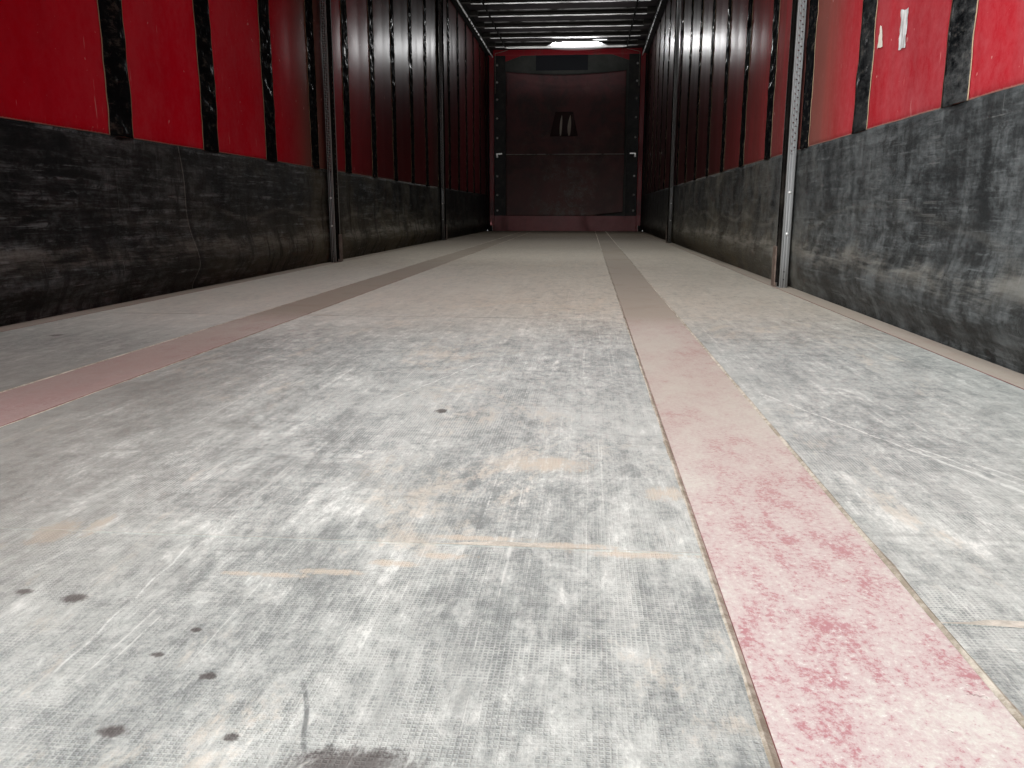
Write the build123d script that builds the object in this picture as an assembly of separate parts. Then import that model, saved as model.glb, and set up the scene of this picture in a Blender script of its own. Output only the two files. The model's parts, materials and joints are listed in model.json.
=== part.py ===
from build123d import *
import os

# Curtain-sided load body of a semi trailer, in millimetres.
# It is the whole load space as one assembly: floor frame and boards, headboard, rear frame
# with two doors folded back along the sides, sliding posts, side curtains and sliding roof.
# +Y runs forward to the headboard, +X to the right-hand side, +Z up.
# The origin is on the ground under the middle of the body.

# Load space
load_length = 13600          # rear face of the rear frame to the headboard's inner face
deck_height = 220            # ground to the top of the floor
roof_height = 2800           # deck to the underside of the roof sheet
half_width = 1256            # centre to the outer face of raves and rear posts
seat = 0.3                   # running clearance where a loose piece lies on its seat

# Floor frame
beam_spacing = 1160          # between the centres of the two main beams
flange_width = 160
flange_thickness = 12
web_thickness = 8
cross_count = 20
cross_width = 50
cross_depth = 100
cross_wall = 5
rave_top_width = 70
rave_depth = 160
rave_foot_width = 50
rave_lip = 18                # upturned edge of the rave's foot, behind the buckles' hooks
rave_wall = 6
sill_depth = 200
sill_wall = 8
lash_slot_width = 60
lash_slot_height = 20
lash_slot_pitch = 350
lash_slot_drop = 60          # deck down to the middle of a lashing slot

# Bolting places in the lower flanges
bolt_hole_radius = 9
bolt_gauge = 100             # across the flange
bolt_pitch = 300             # along the beam
bolt_place = 5200            # middle of the body to the middle of each bolt group

# Floor boards
board_thickness = 30
board_gap = 3
board_length = 2500
first_full_joint = 2400      # door plane to the first joint that crosses the floor
centre_repair_joint = 650    # door plane to the short end pieces
side_repair_joint = 530

# Headboard
headboard_depth = 90
head_post_width = 106
head_wall = 5
top_beam_depth = 90
kick_height = 243
kick_thickness = 8
lining_thickness = 12
strip_gap = 5                # headboard post to the bolted black strip
strip_width = 177
strip_thickness = 8
mid_rail_height = 1206
mid_rail_depth = 20
mid_rail_thickness = 4
hung_sheet_left_gap = 8      # bolted strip to the hung sheet's edge
hung_sheet_right_gap = 38
hung_sheet_drop = 240        # top beam down to the hung sheet
hung_sheet_thickness = 3
vent_left = -485
vent_right = 330
vent_height = 228
vent_thickness = 4
gusset_leg_across = 262
gusset_leg_down = 86
gusset_thickness = 6
swage_count = 10
swage_depth = 30
swage_land = 70
sheet_metal = 3

# Rear frame
rear_frame_depth = 110
rear_post_width = 50
rear_wall = 6
header_depth = 160
bumper_width = 160
bumper_height = 100
bumper_thickness = 45
bumper_chamfer = 15
bumper_inset = 126           # body's side to the bumper's middle

# Cant rails: each row is the outline of one wall of the extrusion
rail_wall = 4
rail_depth = 115             # roof sheet down to the lower lips
rail_inset = 91              # body's side to the inner face of the cant rail
rail_overhang = 10
rail_mid_inset = 20          # body's side to the wall between the post track and the curtain track
rail_lip = 35                # how far the lips hang below the box
rail_toe = 10

# Roof
bow_pitch = 665
bow_first = 600              # headboard to the first bow
bow_width = 60
bow_depth = 72
bow_wall = 4
bow_lip = 28                 # lips that nearly close the bow's open side
carriage_length = 105        # cant rail to the end of the bow
carriage_width = 90
carriage_depth = 50
roof_sheet_thickness = 3
roof_skirt = 45
roof_bar_radius = 11
roof_bar_inset = 155         # bow's end to the bar's leg
roof_bar_front = 600         # headboard to the crossing of the bar
roof_bar_bend = 90
roof_bar_rear = 700          # door plane to the rear ends of the bar

# Side curtains
curtain_inset = 10           # body's side to the curtain's inner face
curtain_thickness = 3
skirt_top = 570              # deck to the top of the black skirt
skirt_bend_heights = (308, 168, 98, 14)  # deck up to each bend of the bulging skirt
skirt_bulge = 4
skirt_hem = 150              # deck down to the hem
skirt_clearance = 6          # rave to the hanging hem
band_width = 148
band_thickness = 2
band_pitch = 700
band_first = 350             # headboard to the first band
band_last = 300              # least from the rear frame to the last band
hanger_width = 60
hanger_thickness = 6
pole_radius = 17
pole_offset = 24             # post face to the pole's centre
ratchet_size = 58
ratchet_height = 90
ratchet_inset = 20           # rave's outer edge to the ratchet box

# Straps and buckles outside
strap_width = 50
strap_thickness = 3
strap_kick_height = 600
strap_end_drop = 60
buckle_width = 58
buckle_height = 96
buckle_thickness = 12
lever_inset = 8              # buckle's edge to the lever's edge
lever_length = 56
lever_root = 3               # lever's thickness at its pivot and at its free end
lever_tip = 6
hook_inset = 14
hook_thickness = 5
hook_reach = 34

# Sliding posts: wall, and place of each one from the headboard
post_inset = 56              # body's side to the post's inner face
post_depth = 32
post_width = 112
post_wall = 4
post_corner = 8              # outer radius of the folds
post_lip = 14
post_foot_height = 173
post_foot_width = 56
post_foot_depth = 14
post_plate_thickness = 8
post_plate_overhang = 4
post_top_gap = 24            # post's top below the rail's lips
post_hanger_width = 80
post_roller_radius = 12
post_roller_width = 24
sliding_posts = {            # node name: side, distance from the headboard
    "sliding_post_left_front": (-1, 4470),
    "sliding_post_left_rear": (-1, 8510),
    "sliding_post_right_front": (1, 4960),
    "sliding_post_right_rear": (1, 10020),
}

# Rear doors, drawn shut and then turned to their open rest
door_thickness = 30
door_gap = 5                 # rear frame to the shut door
door_meeting_gap = 6         # centre line to the door's free edge
door_hinge_gap = 20          # hinge axis to the door's hinge edge
door_drop = 60               # deck down to the door's lower edge
door_top_drop = 30           # roof sheet down to its upper edge
door_open_angle = 265
door_frame_width = 90
door_recess = 6
door_fields = 3
hinge_count = 4
hinge_first = 160            # door's lower edge to the first hinge
hinge_out = 14               # rear post's outer face to the hinge axis
hinge_back = 12              # door's outer face to the hinge axis
hinge_radius = 13
hinge_pin_radius = 8
hinge_pin_clearance = 0.3
hinge_height = 50
hinge_tip_height = 30        # the blade tapers to this at its free end
hinge_lug_height = 18
hinge_lug_gap = 1
hinge_lug_width = 16
hinge_lug_seat = 60
blade_length = 280
blade_thickness = 6
lock_bar_radius = 12.5
lock_bar_standoff = 22       # door's outer face to the bar's centre
lock_bar_table = [           # hinge axis to bar, handle's height, side that it folds to
    (330, 1120, -1),
    (930, 1260, 1),
]
lock_bar_overrun = 34        # bar's reach past the door's edges
guide_width = 64
guide_height = 34
guide_wall = 4
guide_chamfer = 8
handle_length = 430
handle_depth = 34
handle_hub = 20              # radius of the hub on the bar
handle_neck = 18             # the handle's narrow part beside its hub
handle_grip = 150
handle_thickness = 8
handle_seat = 2              # how far the handle's hub is let into the bar
cam_width = 52
cam_height = 26
cam_depth = 22
cam_notch = 9                # radius of the hollow between the cam's two horns
keeper_gap = 8
keeper_wall = 10
keeper_depth = 64
keeper_height = 30
keeper_lead = 4              # chamfer that leads the cam in

# Places that follow from the sizes above
hinge_behind = door_gap + door_thickness + hinge_back
rear_reach = max(hinge_behind + hinge_radius, keeper_depth)
overall_length = rear_reach + load_length + headboard_depth
front_face = overall_length / 2
head_face = front_face - headboard_depth
door_plane = head_face - load_length
frame_rear = door_plane + rear_frame_depth
frame_front = head_face
frame_length = frame_front - frame_rear
board_under = deck_height - board_thickness
rail_top = deck_height + roof_height
rail_bottom = rail_top - rail_depth
rave_outer = half_width
rave_inner_edge = half_width - rave_top_width
head_post_inner = half_width - head_post_width
strip_outer = head_post_inner - strip_gap
strip_inner = strip_outer - strip_width
rail_inner = half_width - rail_inset
rail_outer = half_width + rail_overhang
rail_mid = half_width - rail_mid_inset
bow_half_length = rail_inner - carriage_length
curtain_inner = half_width - curtain_inset
post_inner = half_width - post_inset
flange_inner = beam_spacing / 2 - flange_width / 2
flange_outer = beam_spacing / 2 + flange_width / 2


def block(x, y, z):
    """A box from its low and high places along each axis."""
    size = [high - low for low, high in (x, y, z)]
    middle = [(high + low) / 2 for low, high in (x, y, z)]
    return Pos(*middle) * Box(*size)


def walls_along_y(walls, y):
    """Rectangles in the cross-section, (x low, x high, z low, z high), drawn out along Y."""
    outline = Sketch() + [
        Pos((x0 + x1) / 2, (z0 + z1) / 2) * Rectangle(x1 - x0, z1 - z0) for x0, x1, z0, z1 in walls
    ]
    return extrude(Plane.XZ.offset(-y[1]) * outline, amount=y[1] - y[0])


def sheet_along_y(points, thickness, y):
    """A thin sheet whose cross-section follows points (x, z), thickened to +X, drawn out along Y."""
    line = Polyline(*points)
    outer = Polyline(*[(x + thickness, z) for x, z in points])
    ends = Line(line @ 0, outer @ 0) + Line(line @ 1, outer @ 1)
    outline = make_face(line + outer + ends)
    return extrude(Plane.XZ.offset(-y[1]) * outline, amount=y[1] - y[0])


def rolled_section(first, second, wall, corner):
    """A closed box section between two pairs of places, rounded at its corners outside and inside."""
    width, height = first[1] - first[0], second[1] - second[0]
    outline = RectangleRounded(width, height, corner)
    hollow = RectangleRounded(width - 2 * wall, height - 2 * wall, corner - wall)
    return Pos((first[0] + first[1]) / 2, (second[0] + second[1]) / 2) * (outline - hollow)


def tube_along_x(x, y, z, wall):
    return extrude(Plane.YZ.offset(x[0]) * rolled_section(y, z, wall, 2 * wall), amount=x[1] - x[0])


def tube_upright(x, y, z, wall):
    return extrude(Plane.XY.offset(z[0]) * rolled_section(x, y, wall, 2 * wall), amount=z[1] - z[0])


def left_of(shape):
    return mirror(shape, about=Plane.YZ)


# Floor frame
cross_first = frame_rear + cross_width
cross_step = (frame_length - 2 * cross_width) / (cross_count - 1)
cross_places = [cross_first + cross_step * n for n in range(cross_count)]
cross_z = (board_under - cross_depth, board_under)


def main_beam():
    x = beam_spacing / 2
    half_flange = flange_width / 2
    half_web = web_thickness / 2
    beam = walls_along_y(
        [
            (x - half_flange, x + half_flange, 0, flange_thickness),
            (x - half_web, x + half_web, 0, deck_height),
            (x - half_flange, x + half_flange, deck_height - flange_thickness, deck_height),
        ],
        (frame_rear, frame_front),
    )
    web_x = (x - web_thickness, x + web_thickness)
    for y in cross_places:
        beam -= block(web_x, (y - cross_width / 2, y + cross_width / 2), cross_z)
    for place in (-bolt_place, bolt_place):
        for side in (-1, 1):
            for end in (-1, 1):
                hole = Cylinder(bolt_hole_radius, 3 * flange_thickness)
                beam -= Pos(x + side * bolt_gauge / 2, place + end * bolt_pitch / 2, 0) * hole
    return beam


def crossmembers():
    """Channels with their backs to the rear, from rave to rave through the webs of the beams."""
    reach = half_width - rave_wall
    low, high = cross_z
    channels = []
    for y in cross_places:
        rear, front = y - cross_width / 2, y + cross_width / 2
        channel = block((-reach, reach), (rear, front), cross_z)
        hollow = block(
            (-reach, reach), (rear + cross_wall, front), (low + cross_wall, high - cross_wall)
        )
        channels.append(channel - hollow)
    return Compound(channels)


def side_rave():
    bottom = deck_height - rave_depth
    rave = walls_along_y(
        [
            (rave_inner_edge, rave_outer, deck_height - rave_wall, deck_height),
            (rave_outer - rave_wall, rave_outer, bottom, deck_height),
            (rave_outer - rave_foot_width, rave_outer, bottom, bottom + rave_wall),
            (rave_outer - rave_foot_width, rave_outer - rave_foot_width + rave_wall, bottom, bottom + rave_lip),
        ],
        (frame_rear, frame_front),
    )
    slot_count = int(frame_length // lash_slot_pitch)
    slot_first = -lash_slot_pitch * (slot_count - 1) / 2 + (frame_rear + frame_front) / 2
    slot_z = deck_height - lash_slot_drop
    for n in range(slot_count):
        y = slot_first + n * lash_slot_pitch
        rave -= block(
            (rave_outer - 2 * rave_wall, rave_outer + rave_wall),
            (y - lash_slot_width / 2, y + lash_slot_width / 2),
            (slot_z - lash_slot_height / 2, slot_z + lash_slot_height / 2),
        )
    return rave


def sill(y):
    z = (deck_height - sill_depth, deck_height)
    return tube_along_x((-half_width, half_width), y, z, sill_wall)


def boards(x, repair_joint):
    """Floor panels between two places across, cut at the joints along the floor."""
    cuts = [frame_rear + board_gap]
    joint = repair_joint
    while door_plane + joint < frame_front - board_gap:
        if door_plane + joint > cuts[0] + board_gap:
            cuts.append(door_plane + joint)
        joint = first_full_joint if joint < first_full_joint else joint + board_length
    cuts.append(frame_front)
    panels = []
    for start, end in zip(cuts, cuts[1:]):
        panels.append(block(x, (start, end - board_gap), (board_under, deck_height)))
    return Compound(panels)


# Headboard
head_y = (head_face, front_face)
head_post_z = (deck_height, rail_top)
top_beam_bottom = rail_top - top_beam_depth


def headboard_post():
    return tube_upright((head_post_inner, half_width), head_y, head_post_z, head_wall)


def headboard_top_beam():
    x = (-head_post_inner, head_post_inner)
    z = (top_beam_bottom, rail_top)
    return tube_along_x(x, head_y, z, head_wall)


def headboard_outer_wall():
    """Pressed sheet with upright swages, seen from the front of the body."""
    width = 2 * head_post_inner
    pitch = width / swage_count
    slope = (pitch - 2 * swage_land) / 2
    near = front_face - swage_depth
    points = []
    for n in range(swage_count):
        x = -head_post_inner + n * pitch
        points += [
            (x, near),
            (x + swage_land, near),
            (x + swage_land + slope, near + swage_depth - sheet_metal),
            (x + 2 * swage_land + slope, near + swage_depth - sheet_metal),
        ]
    points.append((head_post_inner, near))
    back = [(x, y + sheet_metal) for x, y in reversed(points)]
    outline = make_face(Polyline(*points, *back, close=True))
    return Pos(0, 0, deck_height) * extrude(outline, amount=top_beam_bottom - deck_height)


lining_y = (head_face + kick_thickness, head_face + kick_thickness + lining_thickness)
hung_sheet_x = (hung_sheet_left_gap - strip_inner, strip_inner - hung_sheet_right_gap)


def headboard_lining():
    x = (-head_post_inner, head_post_inner)
    return block(x, lining_y, (deck_height, top_beam_bottom))


def kick_plate():
    x = (-head_post_inner, head_post_inner)
    return block(x, (head_face, head_face + kick_thickness), (deck_height, deck_height + kick_height))


def bolt_strip():
    y = (lining_y[0] - strip_thickness, lining_y[0])
    return block((strip_inner, strip_outer), y, (deck_height + kick_height, top_beam_bottom))


def mid_rail():
    y = (lining_y[0] - hung_sheet_thickness - mid_rail_thickness, lining_y[0] - hung_sheet_thickness)
    z = deck_height + mid_rail_height
    x = hung_sheet_x
    return block(x, y, (z - mid_rail_depth / 2, z + mid_rail_depth / 2))


def hung_sheet():
    y = (lining_y[0] - hung_sheet_thickness, lining_y[0])
    z = (deck_height + kick_height, top_beam_bottom - hung_sheet_drop)
    return block(hung_sheet_x, y, z)


def vent_plate():
    y = (lining_y[0] - vent_thickness, lining_y[0])
    z = (top_beam_bottom - vent_height, top_beam_bottom)
    return block((vent_left, vent_right), y, z)


def corner_gussets():
    """Three-cornered plates under the ends of the top beam."""
    top = top_beam_bottom
    side = strip_inner
    outline = make_face(
        Polyline((side, top), (side, top - gusset_leg_down), (side - gusset_leg_across, top), close=True)
    )
    gusset = extrude(Plane.XZ.offset(-lining_y[0]) * outline, amount=gusset_thickness)
    return Compound([gusset, left_of(gusset)])


# Rear frame
rear_y = (door_plane, frame_rear)
rear_post_inner = half_width - rear_post_width
hinge_x = half_width + hinge_out
hinge_y = door_plane - hinge_behind
door_bottom = deck_height - door_drop
door_top = rail_top - door_top_drop
door_height = door_top - door_bottom
field_height = (door_height - (door_fields + 1) * door_frame_width) / door_fields
hinge_step = (door_height - 2 * hinge_first) / (hinge_count - 1)
hinge_heights = [door_bottom + hinge_first + hinge_step * n for n in range(hinge_count)]


def rear_post():
    """Box post with the fixed halves of the hinges: two lugs and a pin at each."""
    z = (deck_height, rail_top)
    post = tube_upright((rear_post_inner, half_width), rear_y, z, rear_wall)
    lug_x = (half_width, half_width + hinge_lug_width)
    lug_y = (hinge_y, door_plane + hinge_lug_seat)
    for middle in hinge_heights:
        edge = hinge_height / 2 + hinge_lug_gap
        for low in (middle - edge - hinge_lug_height, middle + edge):
            post += block(lug_x, lug_y, (low, low + hinge_lug_height))
            barrel = Cylinder(hinge_radius, hinge_lug_height)
            post += Pos(hinge_x, hinge_y, low + hinge_lug_height / 2) * barrel
        pin = Cylinder(hinge_pin_radius, 2 * edge + hinge_lug_height)
        post += Pos(hinge_x, hinge_y, middle) * pin
    return post


def rear_header():
    x = (-rear_post_inner, rear_post_inner)
    z = (rail_top - header_depth, rail_top)
    header = tube_along_x(x, rear_y, z, rear_wall)
    for keeper in keepers(door_top + lock_bar_overrun - cam_height / 2):
        header += keeper
    return header


def keepers(middle):
    """Forks on the rear frame that take the cams of the lock bars."""
    forks = []
    half_gap = cam_width / 2 + keeper_gap
    for place, _, _ in lock_bar_table:
        for side in (-1, 1):
            x = side * (hinge_x - place)
            for cheek in (-1, 1):
                fork = block(
                    sorted((x + cheek * half_gap, x + cheek * (half_gap + keeper_wall))),
                    (door_plane - keeper_depth, door_plane),
                    (middle - keeper_height / 2, middle + keeper_height / 2),
                )
                mouth = fork.edges().filter_by(Axis.Z).group_by(Axis.Y)[0]
                forks.append(chamfer(mouth, keeper_lead))
    return forks


def rear_sill():
    shape = sill(rear_y)
    for keeper in keepers(door_bottom - lock_bar_overrun + cam_height / 2):
        shape += keeper
    return shape


def bumpers():
    pads = []
    for side in (-1, 1):
        x = side * (half_width - bumper_inset)
        z = deck_height - sill_depth
        pad = block(
            (x - bumper_width / 2, x + bumper_width / 2),
            (door_plane - bumper_thickness, door_plane),
            (z, z + bumper_height),
        )
        pads.append(chamfer(pad.faces().sort_by(Axis.Y)[0].edges(), bumper_chamfer))
    return Compound(pads)


# Cant rails
def cant_rail():
    box_bottom = rail_bottom + rail_lip
    wall = rail_wall
    rail = walls_along_y(
        [
            (rail_inner, rail_outer, rail_top - wall, rail_top),
            (rail_inner, rail_outer, box_bottom, box_bottom + wall),
            (rail_inner, rail_inner + wall, rail_bottom, rail_top),
            (rail_outer - wall, rail_outer, rail_bottom, rail_top),
            (rail_mid, rail_mid + wall, rail_bottom, box_bottom + wall),
            (rail_inner, rail_inner + rail_toe, rail_bottom, rail_bottom + wall),
            (rail_mid - rail_toe, rail_mid + wall, rail_bottom, rail_bottom + wall),
        ],
        (frame_rear, frame_front),
    )
    return rail


# Roof
bow_count = int((frame_length - bow_first - bow_width) // bow_pitch) + 1
bow_z = (rail_top - bow_depth, rail_top)


def roof_bows():
    """Lipped channels open to the rear, each with a carriage at both ends that runs on the rails."""
    bows = []
    low, high = bow_z
    for n in range(bow_count):
        y = head_face - bow_first - n * bow_pitch
        rear, front = y - bow_width / 2, y + bow_width / 2
        section = Sketch() + [
            Pos((y0 + y1) / 2, (z0 + z1) / 2) * Rectangle(y1 - y0, z1 - z0)
            for y0, y1, z0, z1 in (
                (rear, front, low, low + bow_wall),
                (rear, front, high - bow_wall, high),
                (front - bow_wall, front, low, high),
                (rear, rear + bow_wall, low, low + bow_lip),
                (rear, rear + bow_wall, high - bow_lip, high),
            )
        ]
        bow = extrude(Plane.YZ.offset(-bow_half_length) * section, amount=2 * bow_half_length)
        for side in (-1, 1):
            x = sorted((side * bow_half_length, side * rail_inner))
            z = rail_top - (bow_depth - carriage_depth) / 2
            bow += block(x, (y - carriage_width / 2, y + carriage_width / 2), (z - carriage_depth, z))
        bows.append(bow)
    return Compound(bows)


def roof_sheet():
    top = rail_top + roof_sheet_thickness
    side = rail_outer + roof_sheet_thickness
    return walls_along_y(
        [
            (-side, side, rail_top, top),
            (rail_outer, side, top - roof_skirt, top),
            (-side, -rail_outer, top - roof_skirt, top),
        ],
        (door_plane, front_face),
    )


def roof_bar():
    """One bent bar under the bows: two long legs joined by a crossing near the headboard."""
    z = bow_z[0] - roof_bar_radius
    x = bow_half_length - roof_bar_inset
    rear = door_plane + roof_bar_rear
    front = head_face - roof_bar_front
    route = FilletPolyline((-x, rear, z), (-x, front, z), (x, front, z), (x, rear, z), radius=roof_bar_bend)
    section = Plane(origin=route @ 0, z_dir=route % 0) * Circle(roof_bar_radius)
    return sweep(section, path=route)


# Side curtains
pole_rear = frame_rear + pole_offset
pole_front = head_face - pole_offset
curtain_y = (pole_rear + pole_radius, pole_front - pole_radius)
curtain_top = rail_bottom + rail_lip - seat
skirt_z = deck_height + skirt_top
band_count = int((load_length - rear_frame_depth - band_first - band_last) // band_pitch) + 1
band_places = [head_face - band_first - n * band_pitch for n in range(band_count)]


def curtain():
    x = (curtain_inner, curtain_inner + curtain_thickness)
    return block(x, curtain_y, (skirt_z, rail_bottom + rail_lip / 2))


def curtain_skirt():
    """Black lower part: it bellies inward over the floor's edge, then hangs outside the rave."""
    hang = rave_outer + skirt_clearance
    bulge = curtain_inner - skirt_bulge
    bends = [deck_height + height for height in skirt_bend_heights]
    points = [(curtain_inner, skirt_z)]
    points += list(zip((curtain_inner, bulge, bulge, hang), bends))
    points.append((hang, deck_height - skirt_hem))
    return sheet_along_y(points, curtain_thickness, curtain_y)


def curtain_bands():
    """Upright bands on the inside, each with a hanger that runs in the curtain track."""
    bands = []
    x = (curtain_inner - band_thickness, curtain_inner)
    for y in band_places:
        band = block(x, (y - band_width / 2, y + band_width / 2), (skirt_z, rail_bottom - seat))
        hanger_x = (curtain_inner - hanger_thickness, curtain_inner)
        band += block(
            hanger_x,
            (y - hanger_width / 2, y + hanger_width / 2),
            (rail_bottom - 2 * rail_lip, curtain_top),
        )
        bands.append(band)
    return Compound(bands)


def curtain_poles():
    """Upright tubes that the curtain's ends wrap round, each with a ratchet box at its foot."""
    poles = []
    x = curtain_inner + curtain_thickness / 2 - pole_radius / 2
    for y in (pole_rear, pole_front):
        height = rail_bottom - deck_height - seat
        pole = Pos(x, y, deck_height + height / 2) * Cylinder(pole_radius, height)
        side = (half_width - ratchet_inset - ratchet_size, half_width - ratchet_inset)
        near = (y - pole_offset, y - pole_offset + ratchet_size)
        if y > 0:
            near = (y + pole_offset - ratchet_size, y + pole_offset)
        box = block(side, near, (deck_height, deck_height + ratchet_height))
        poles.append(pole + box)
    return Compound(poles)


def straps():
    """Webbing outside the curtain, kicked out over the rave to its buckle."""
    x = curtain_inner + curtain_thickness
    out = rave_outer + skirt_clearance + curtain_thickness
    points = [
        (x, rail_bottom - seat),
        (x, deck_height + strap_kick_height),
        (out, deck_height + strap_end_drop),
        (out, deck_height - strap_end_drop),
    ]
    strips = []
    for y in band_places:
        strips.append(
            sheet_along_y(points, strap_thickness, (y - strap_width / 2, y + strap_width / 2))
        )
    return Compound(strips)


def buckles():
    """Overcentre buckles below the straps, each with a hook under the rave's foot."""
    inner = rave_outer + skirt_clearance + curtain_thickness
    outer = inner + buckle_thickness
    top = deck_height - strap_end_drop
    foot = deck_height - rave_depth
    shapes = []
    for y in band_places:
        side = (y - buckle_width / 2, y + buckle_width / 2)
        frame = block((inner, outer), side, (top - buckle_height, top))
        pivot = (outer, top - buckle_height + lever_inset + lever_length)
        tip = (outer, pivot[1] - lever_length)
        wedge = make_face(
            Polyline(pivot, (pivot[0] + lever_root, pivot[1]), (tip[0] + lever_tip, tip[1]), tip, close=True)
        )
        lever_width = buckle_width - 2 * lever_inset
        lever = extrude(Plane.XZ.offset(-y - lever_width / 2) * wedge, amount=lever_width)
        hook_y = (side[0] + hook_inset, side[1] - hook_inset)
        drop = block(
            (inner, inner + hook_thickness), hook_y, (foot - seat - hook_thickness, top - buckle_height)
        )
        toe = block(
            (rave_outer - hook_reach, inner + hook_thickness),
            hook_y,
            (foot - seat - hook_thickness, foot - seat),
        )
        shapes.append(frame + lever + drop + toe)
    return Compound(shapes)


# Sliding posts
def sliding_post(distance):
    """Pressed channel with its back to the load, on a foot plate and hung from rollers."""
    y = head_face - distance
    half = post_width / 2
    outer = post_inner + post_depth
    z = (deck_height + post_plate_thickness, rail_bottom - post_top_gap)
    section = rolled_section((post_inner, outer), (y - half, y + half), post_wall, post_corner)
    mouth = Pos(outer - post_wall / 2, y) * Rectangle(post_wall, post_width - 2 * post_lip)
    post = extrude(Plane.XY.offset(z[0]) * (section - mouth), amount=z[1] - z[0])
    plate_half = half + post_plate_overhang
    post += block((rave_inner_edge, outer), (y - plate_half, y + plate_half), (deck_height, z[0]))
    foot_y = (y + half - post_foot_width, y + half)
    foot_z = (z[0], deck_height + post_foot_height)
    post += block((post_inner - post_foot_depth, post_inner), foot_y, foot_z)
    hanger_y = (y - post_hanger_width / 2, y + post_hanger_width / 2)
    hanger = (post_inner, post_inner + post_wall)
    post += block(hanger, hanger_y, (z[1] - post_wall, rail_bottom + rail_lip - post_wall))
    roller_z = rail_bottom + rail_wall + seat + post_roller_radius
    for side in (-1, 1):
        place = y + side * post_hanger_width / 4
        roller = Rot(0, 90, 0) * Cylinder(post_roller_radius, post_roller_width)
        post += Pos(post_inner + post_wall / 2, place, roller_z) * roller
    return post


# Rear doors
def door_panel():
    """One leaf, drawn shut on the right-hand side: framed panel with three pressed fields."""
    outer = hinge_y + hinge_back
    y = (outer, outer + door_thickness)
    x = (door_meeting_gap, hinge_x - door_hinge_gap)
    panel = block(x, y, (door_bottom, door_top))
    for n in range(door_fields):
        low = door_bottom + door_frame_width + n * (field_height + door_frame_width)
        panel -= block(
            (x[0] + door_frame_width, x[1] - door_frame_width),
            (outer, outer + door_recess),
            (low, low + field_height),
        )
    return panel


def door_hinges():
    """Tapered strap blades on the outer face, each with a barrel round its pin."""
    blades = []
    outer = hinge_y + hinge_back
    bore = hinge_pin_radius + hinge_pin_clearance
    for middle in hinge_heights:
        root, tip = hinge_height / 2, hinge_tip_height / 2
        end = hinge_x - blade_length + tip
        taper = Polyline(
            (hinge_x, middle - root),
            (hinge_x, middle + root),
            (end, middle + tip),
            (end, middle - tip),
            close=True,
        )
        outline = make_face(taper) + Pos(end, middle) * Circle(tip)
        blade = extrude(Plane.XZ.offset(-outer) * outline, amount=blade_thickness)
        blade += Pos(hinge_x, hinge_y, middle) * Cylinder(hinge_radius, hinge_height)
        blade -= Pos(hinge_x, hinge_y, middle) * Cylinder(bore, 2 * hinge_height)
        blades.append(blade)
    return Compound(blades)


def handle_outline(side):
    """A round hub, a narrow neck and a wider rounded grip that reaches to one side."""
    grip_start = handle_length - handle_grip
    neck = Pos(side * grip_start / 2, 0) * Rectangle(grip_start + handle_depth, handle_neck)
    grip = Pos(side * (grip_start + handle_grip / 2), 0) * SlotOverall(handle_grip, handle_depth)
    return Circle(handle_hub) + neck + grip


def lock_bars():
    """Two turning bars with guides, cams at their ends and a folding handle on each."""
    outer = hinge_y + hinge_back
    y = outer - lock_bar_standoff
    low, high = door_bottom - lock_bar_overrun, door_top + lock_bar_overrun
    bars = []
    for place, handle_height, handle_side in lock_bar_table:
        x = hinge_x - place
        bar = Pos(x, y, (low + high) / 2) * Cylinder(lock_bar_radius, high - low)
        for n in range(door_fields + 1):
            z = door_bottom + door_frame_width / 2 + n * (field_height + door_frame_width)
            guide_y = (y - lock_bar_radius - guide_wall, outer)
            half = guide_width / 2
            guide = block((x - half, x + half), guide_y, (z - guide_height / 2, z + guide_height / 2))
            corners = guide.edges().filter_by(Axis.Z).group_by(Axis.Y)[0]
            bar += chamfer(corners, guide_chamfer)
        horned = SlotOverall(cam_width, cam_depth) - Pos(0, cam_depth / 2) * Circle(cam_notch)
        for foot in (low, high - cam_height):
            bar += extrude(Plane.XY.offset(foot) * Pos(x, y) * horned, amount=cam_height)
        handle_z = door_bottom + handle_height
        handle_face = y - lock_bar_radius + handle_seat
        handle = extrude(
            Plane.XZ.offset(-handle_face) * Pos(x, handle_z) * handle_outline(handle_side),
            amount=handle_thickness + handle_seat,
        )
        bars.append(bar + handle)
    return Compound(bars)


def opened(shape):
    """The right-hand leaf's pieces turned about the hinge axis to the open rest."""
    return Pos(hinge_x, hinge_y, 0) * Rot(0, 0, door_open_angle) * Pos(-hinge_x, -hinge_y, 0) * shape


# One entry for each node
nodes = {
    "crossmembers": crossmembers(),
    "front_sill": sill(head_y),
    "rear_sill": rear_sill(),
    "sill_bumpers": bumpers(),
    "floor_boards_centre": boards((board_gap - flange_inner, flange_inner - board_gap), centre_repair_joint),
    "headboard_top_beam": headboard_top_beam(),
    "headboard_outer_wall": headboard_outer_wall(),
    "headboard_lining": headboard_lining(),
    "headboard_kick_plate": kick_plate(),
    "headboard_mid_rail": mid_rail(),
    "headboard_hung_sheet": hung_sheet(),
    "headboard_vent_plate": vent_plate(),
    "headboard_gussets": corner_gussets(),
    "rear_header": rear_header(),
    "roof_bows": roof_bows(),
    "roof_sheet": roof_sheet(),
    "roof_bar": roof_bar(),
}
side_boards = (flange_outer + board_gap, rave_inner_edge - board_gap)
paired = {
    "main_beam": main_beam(),
    "side_rave": side_rave(),
    "floor_boards": boards(side_boards, side_repair_joint),
    "headboard_post": headboard_post(),
    "headboard_bolt_strip": bolt_strip(),
    "rear_post": rear_post(),
    "cant_rail": cant_rail(),
    "curtain": curtain(),
    "curtain_skirt": curtain_skirt(),
    "curtain_bands": curtain_bands(),
    "curtain_poles": curtain_poles(),
    "curtain_straps": straps(),
    "curtain_buckles": buckles(),
    "door_panel": opened(door_panel()),
    "door_hinges": opened(door_hinges()),
    "door_lock_bars": opened(lock_bars()),
}
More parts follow.
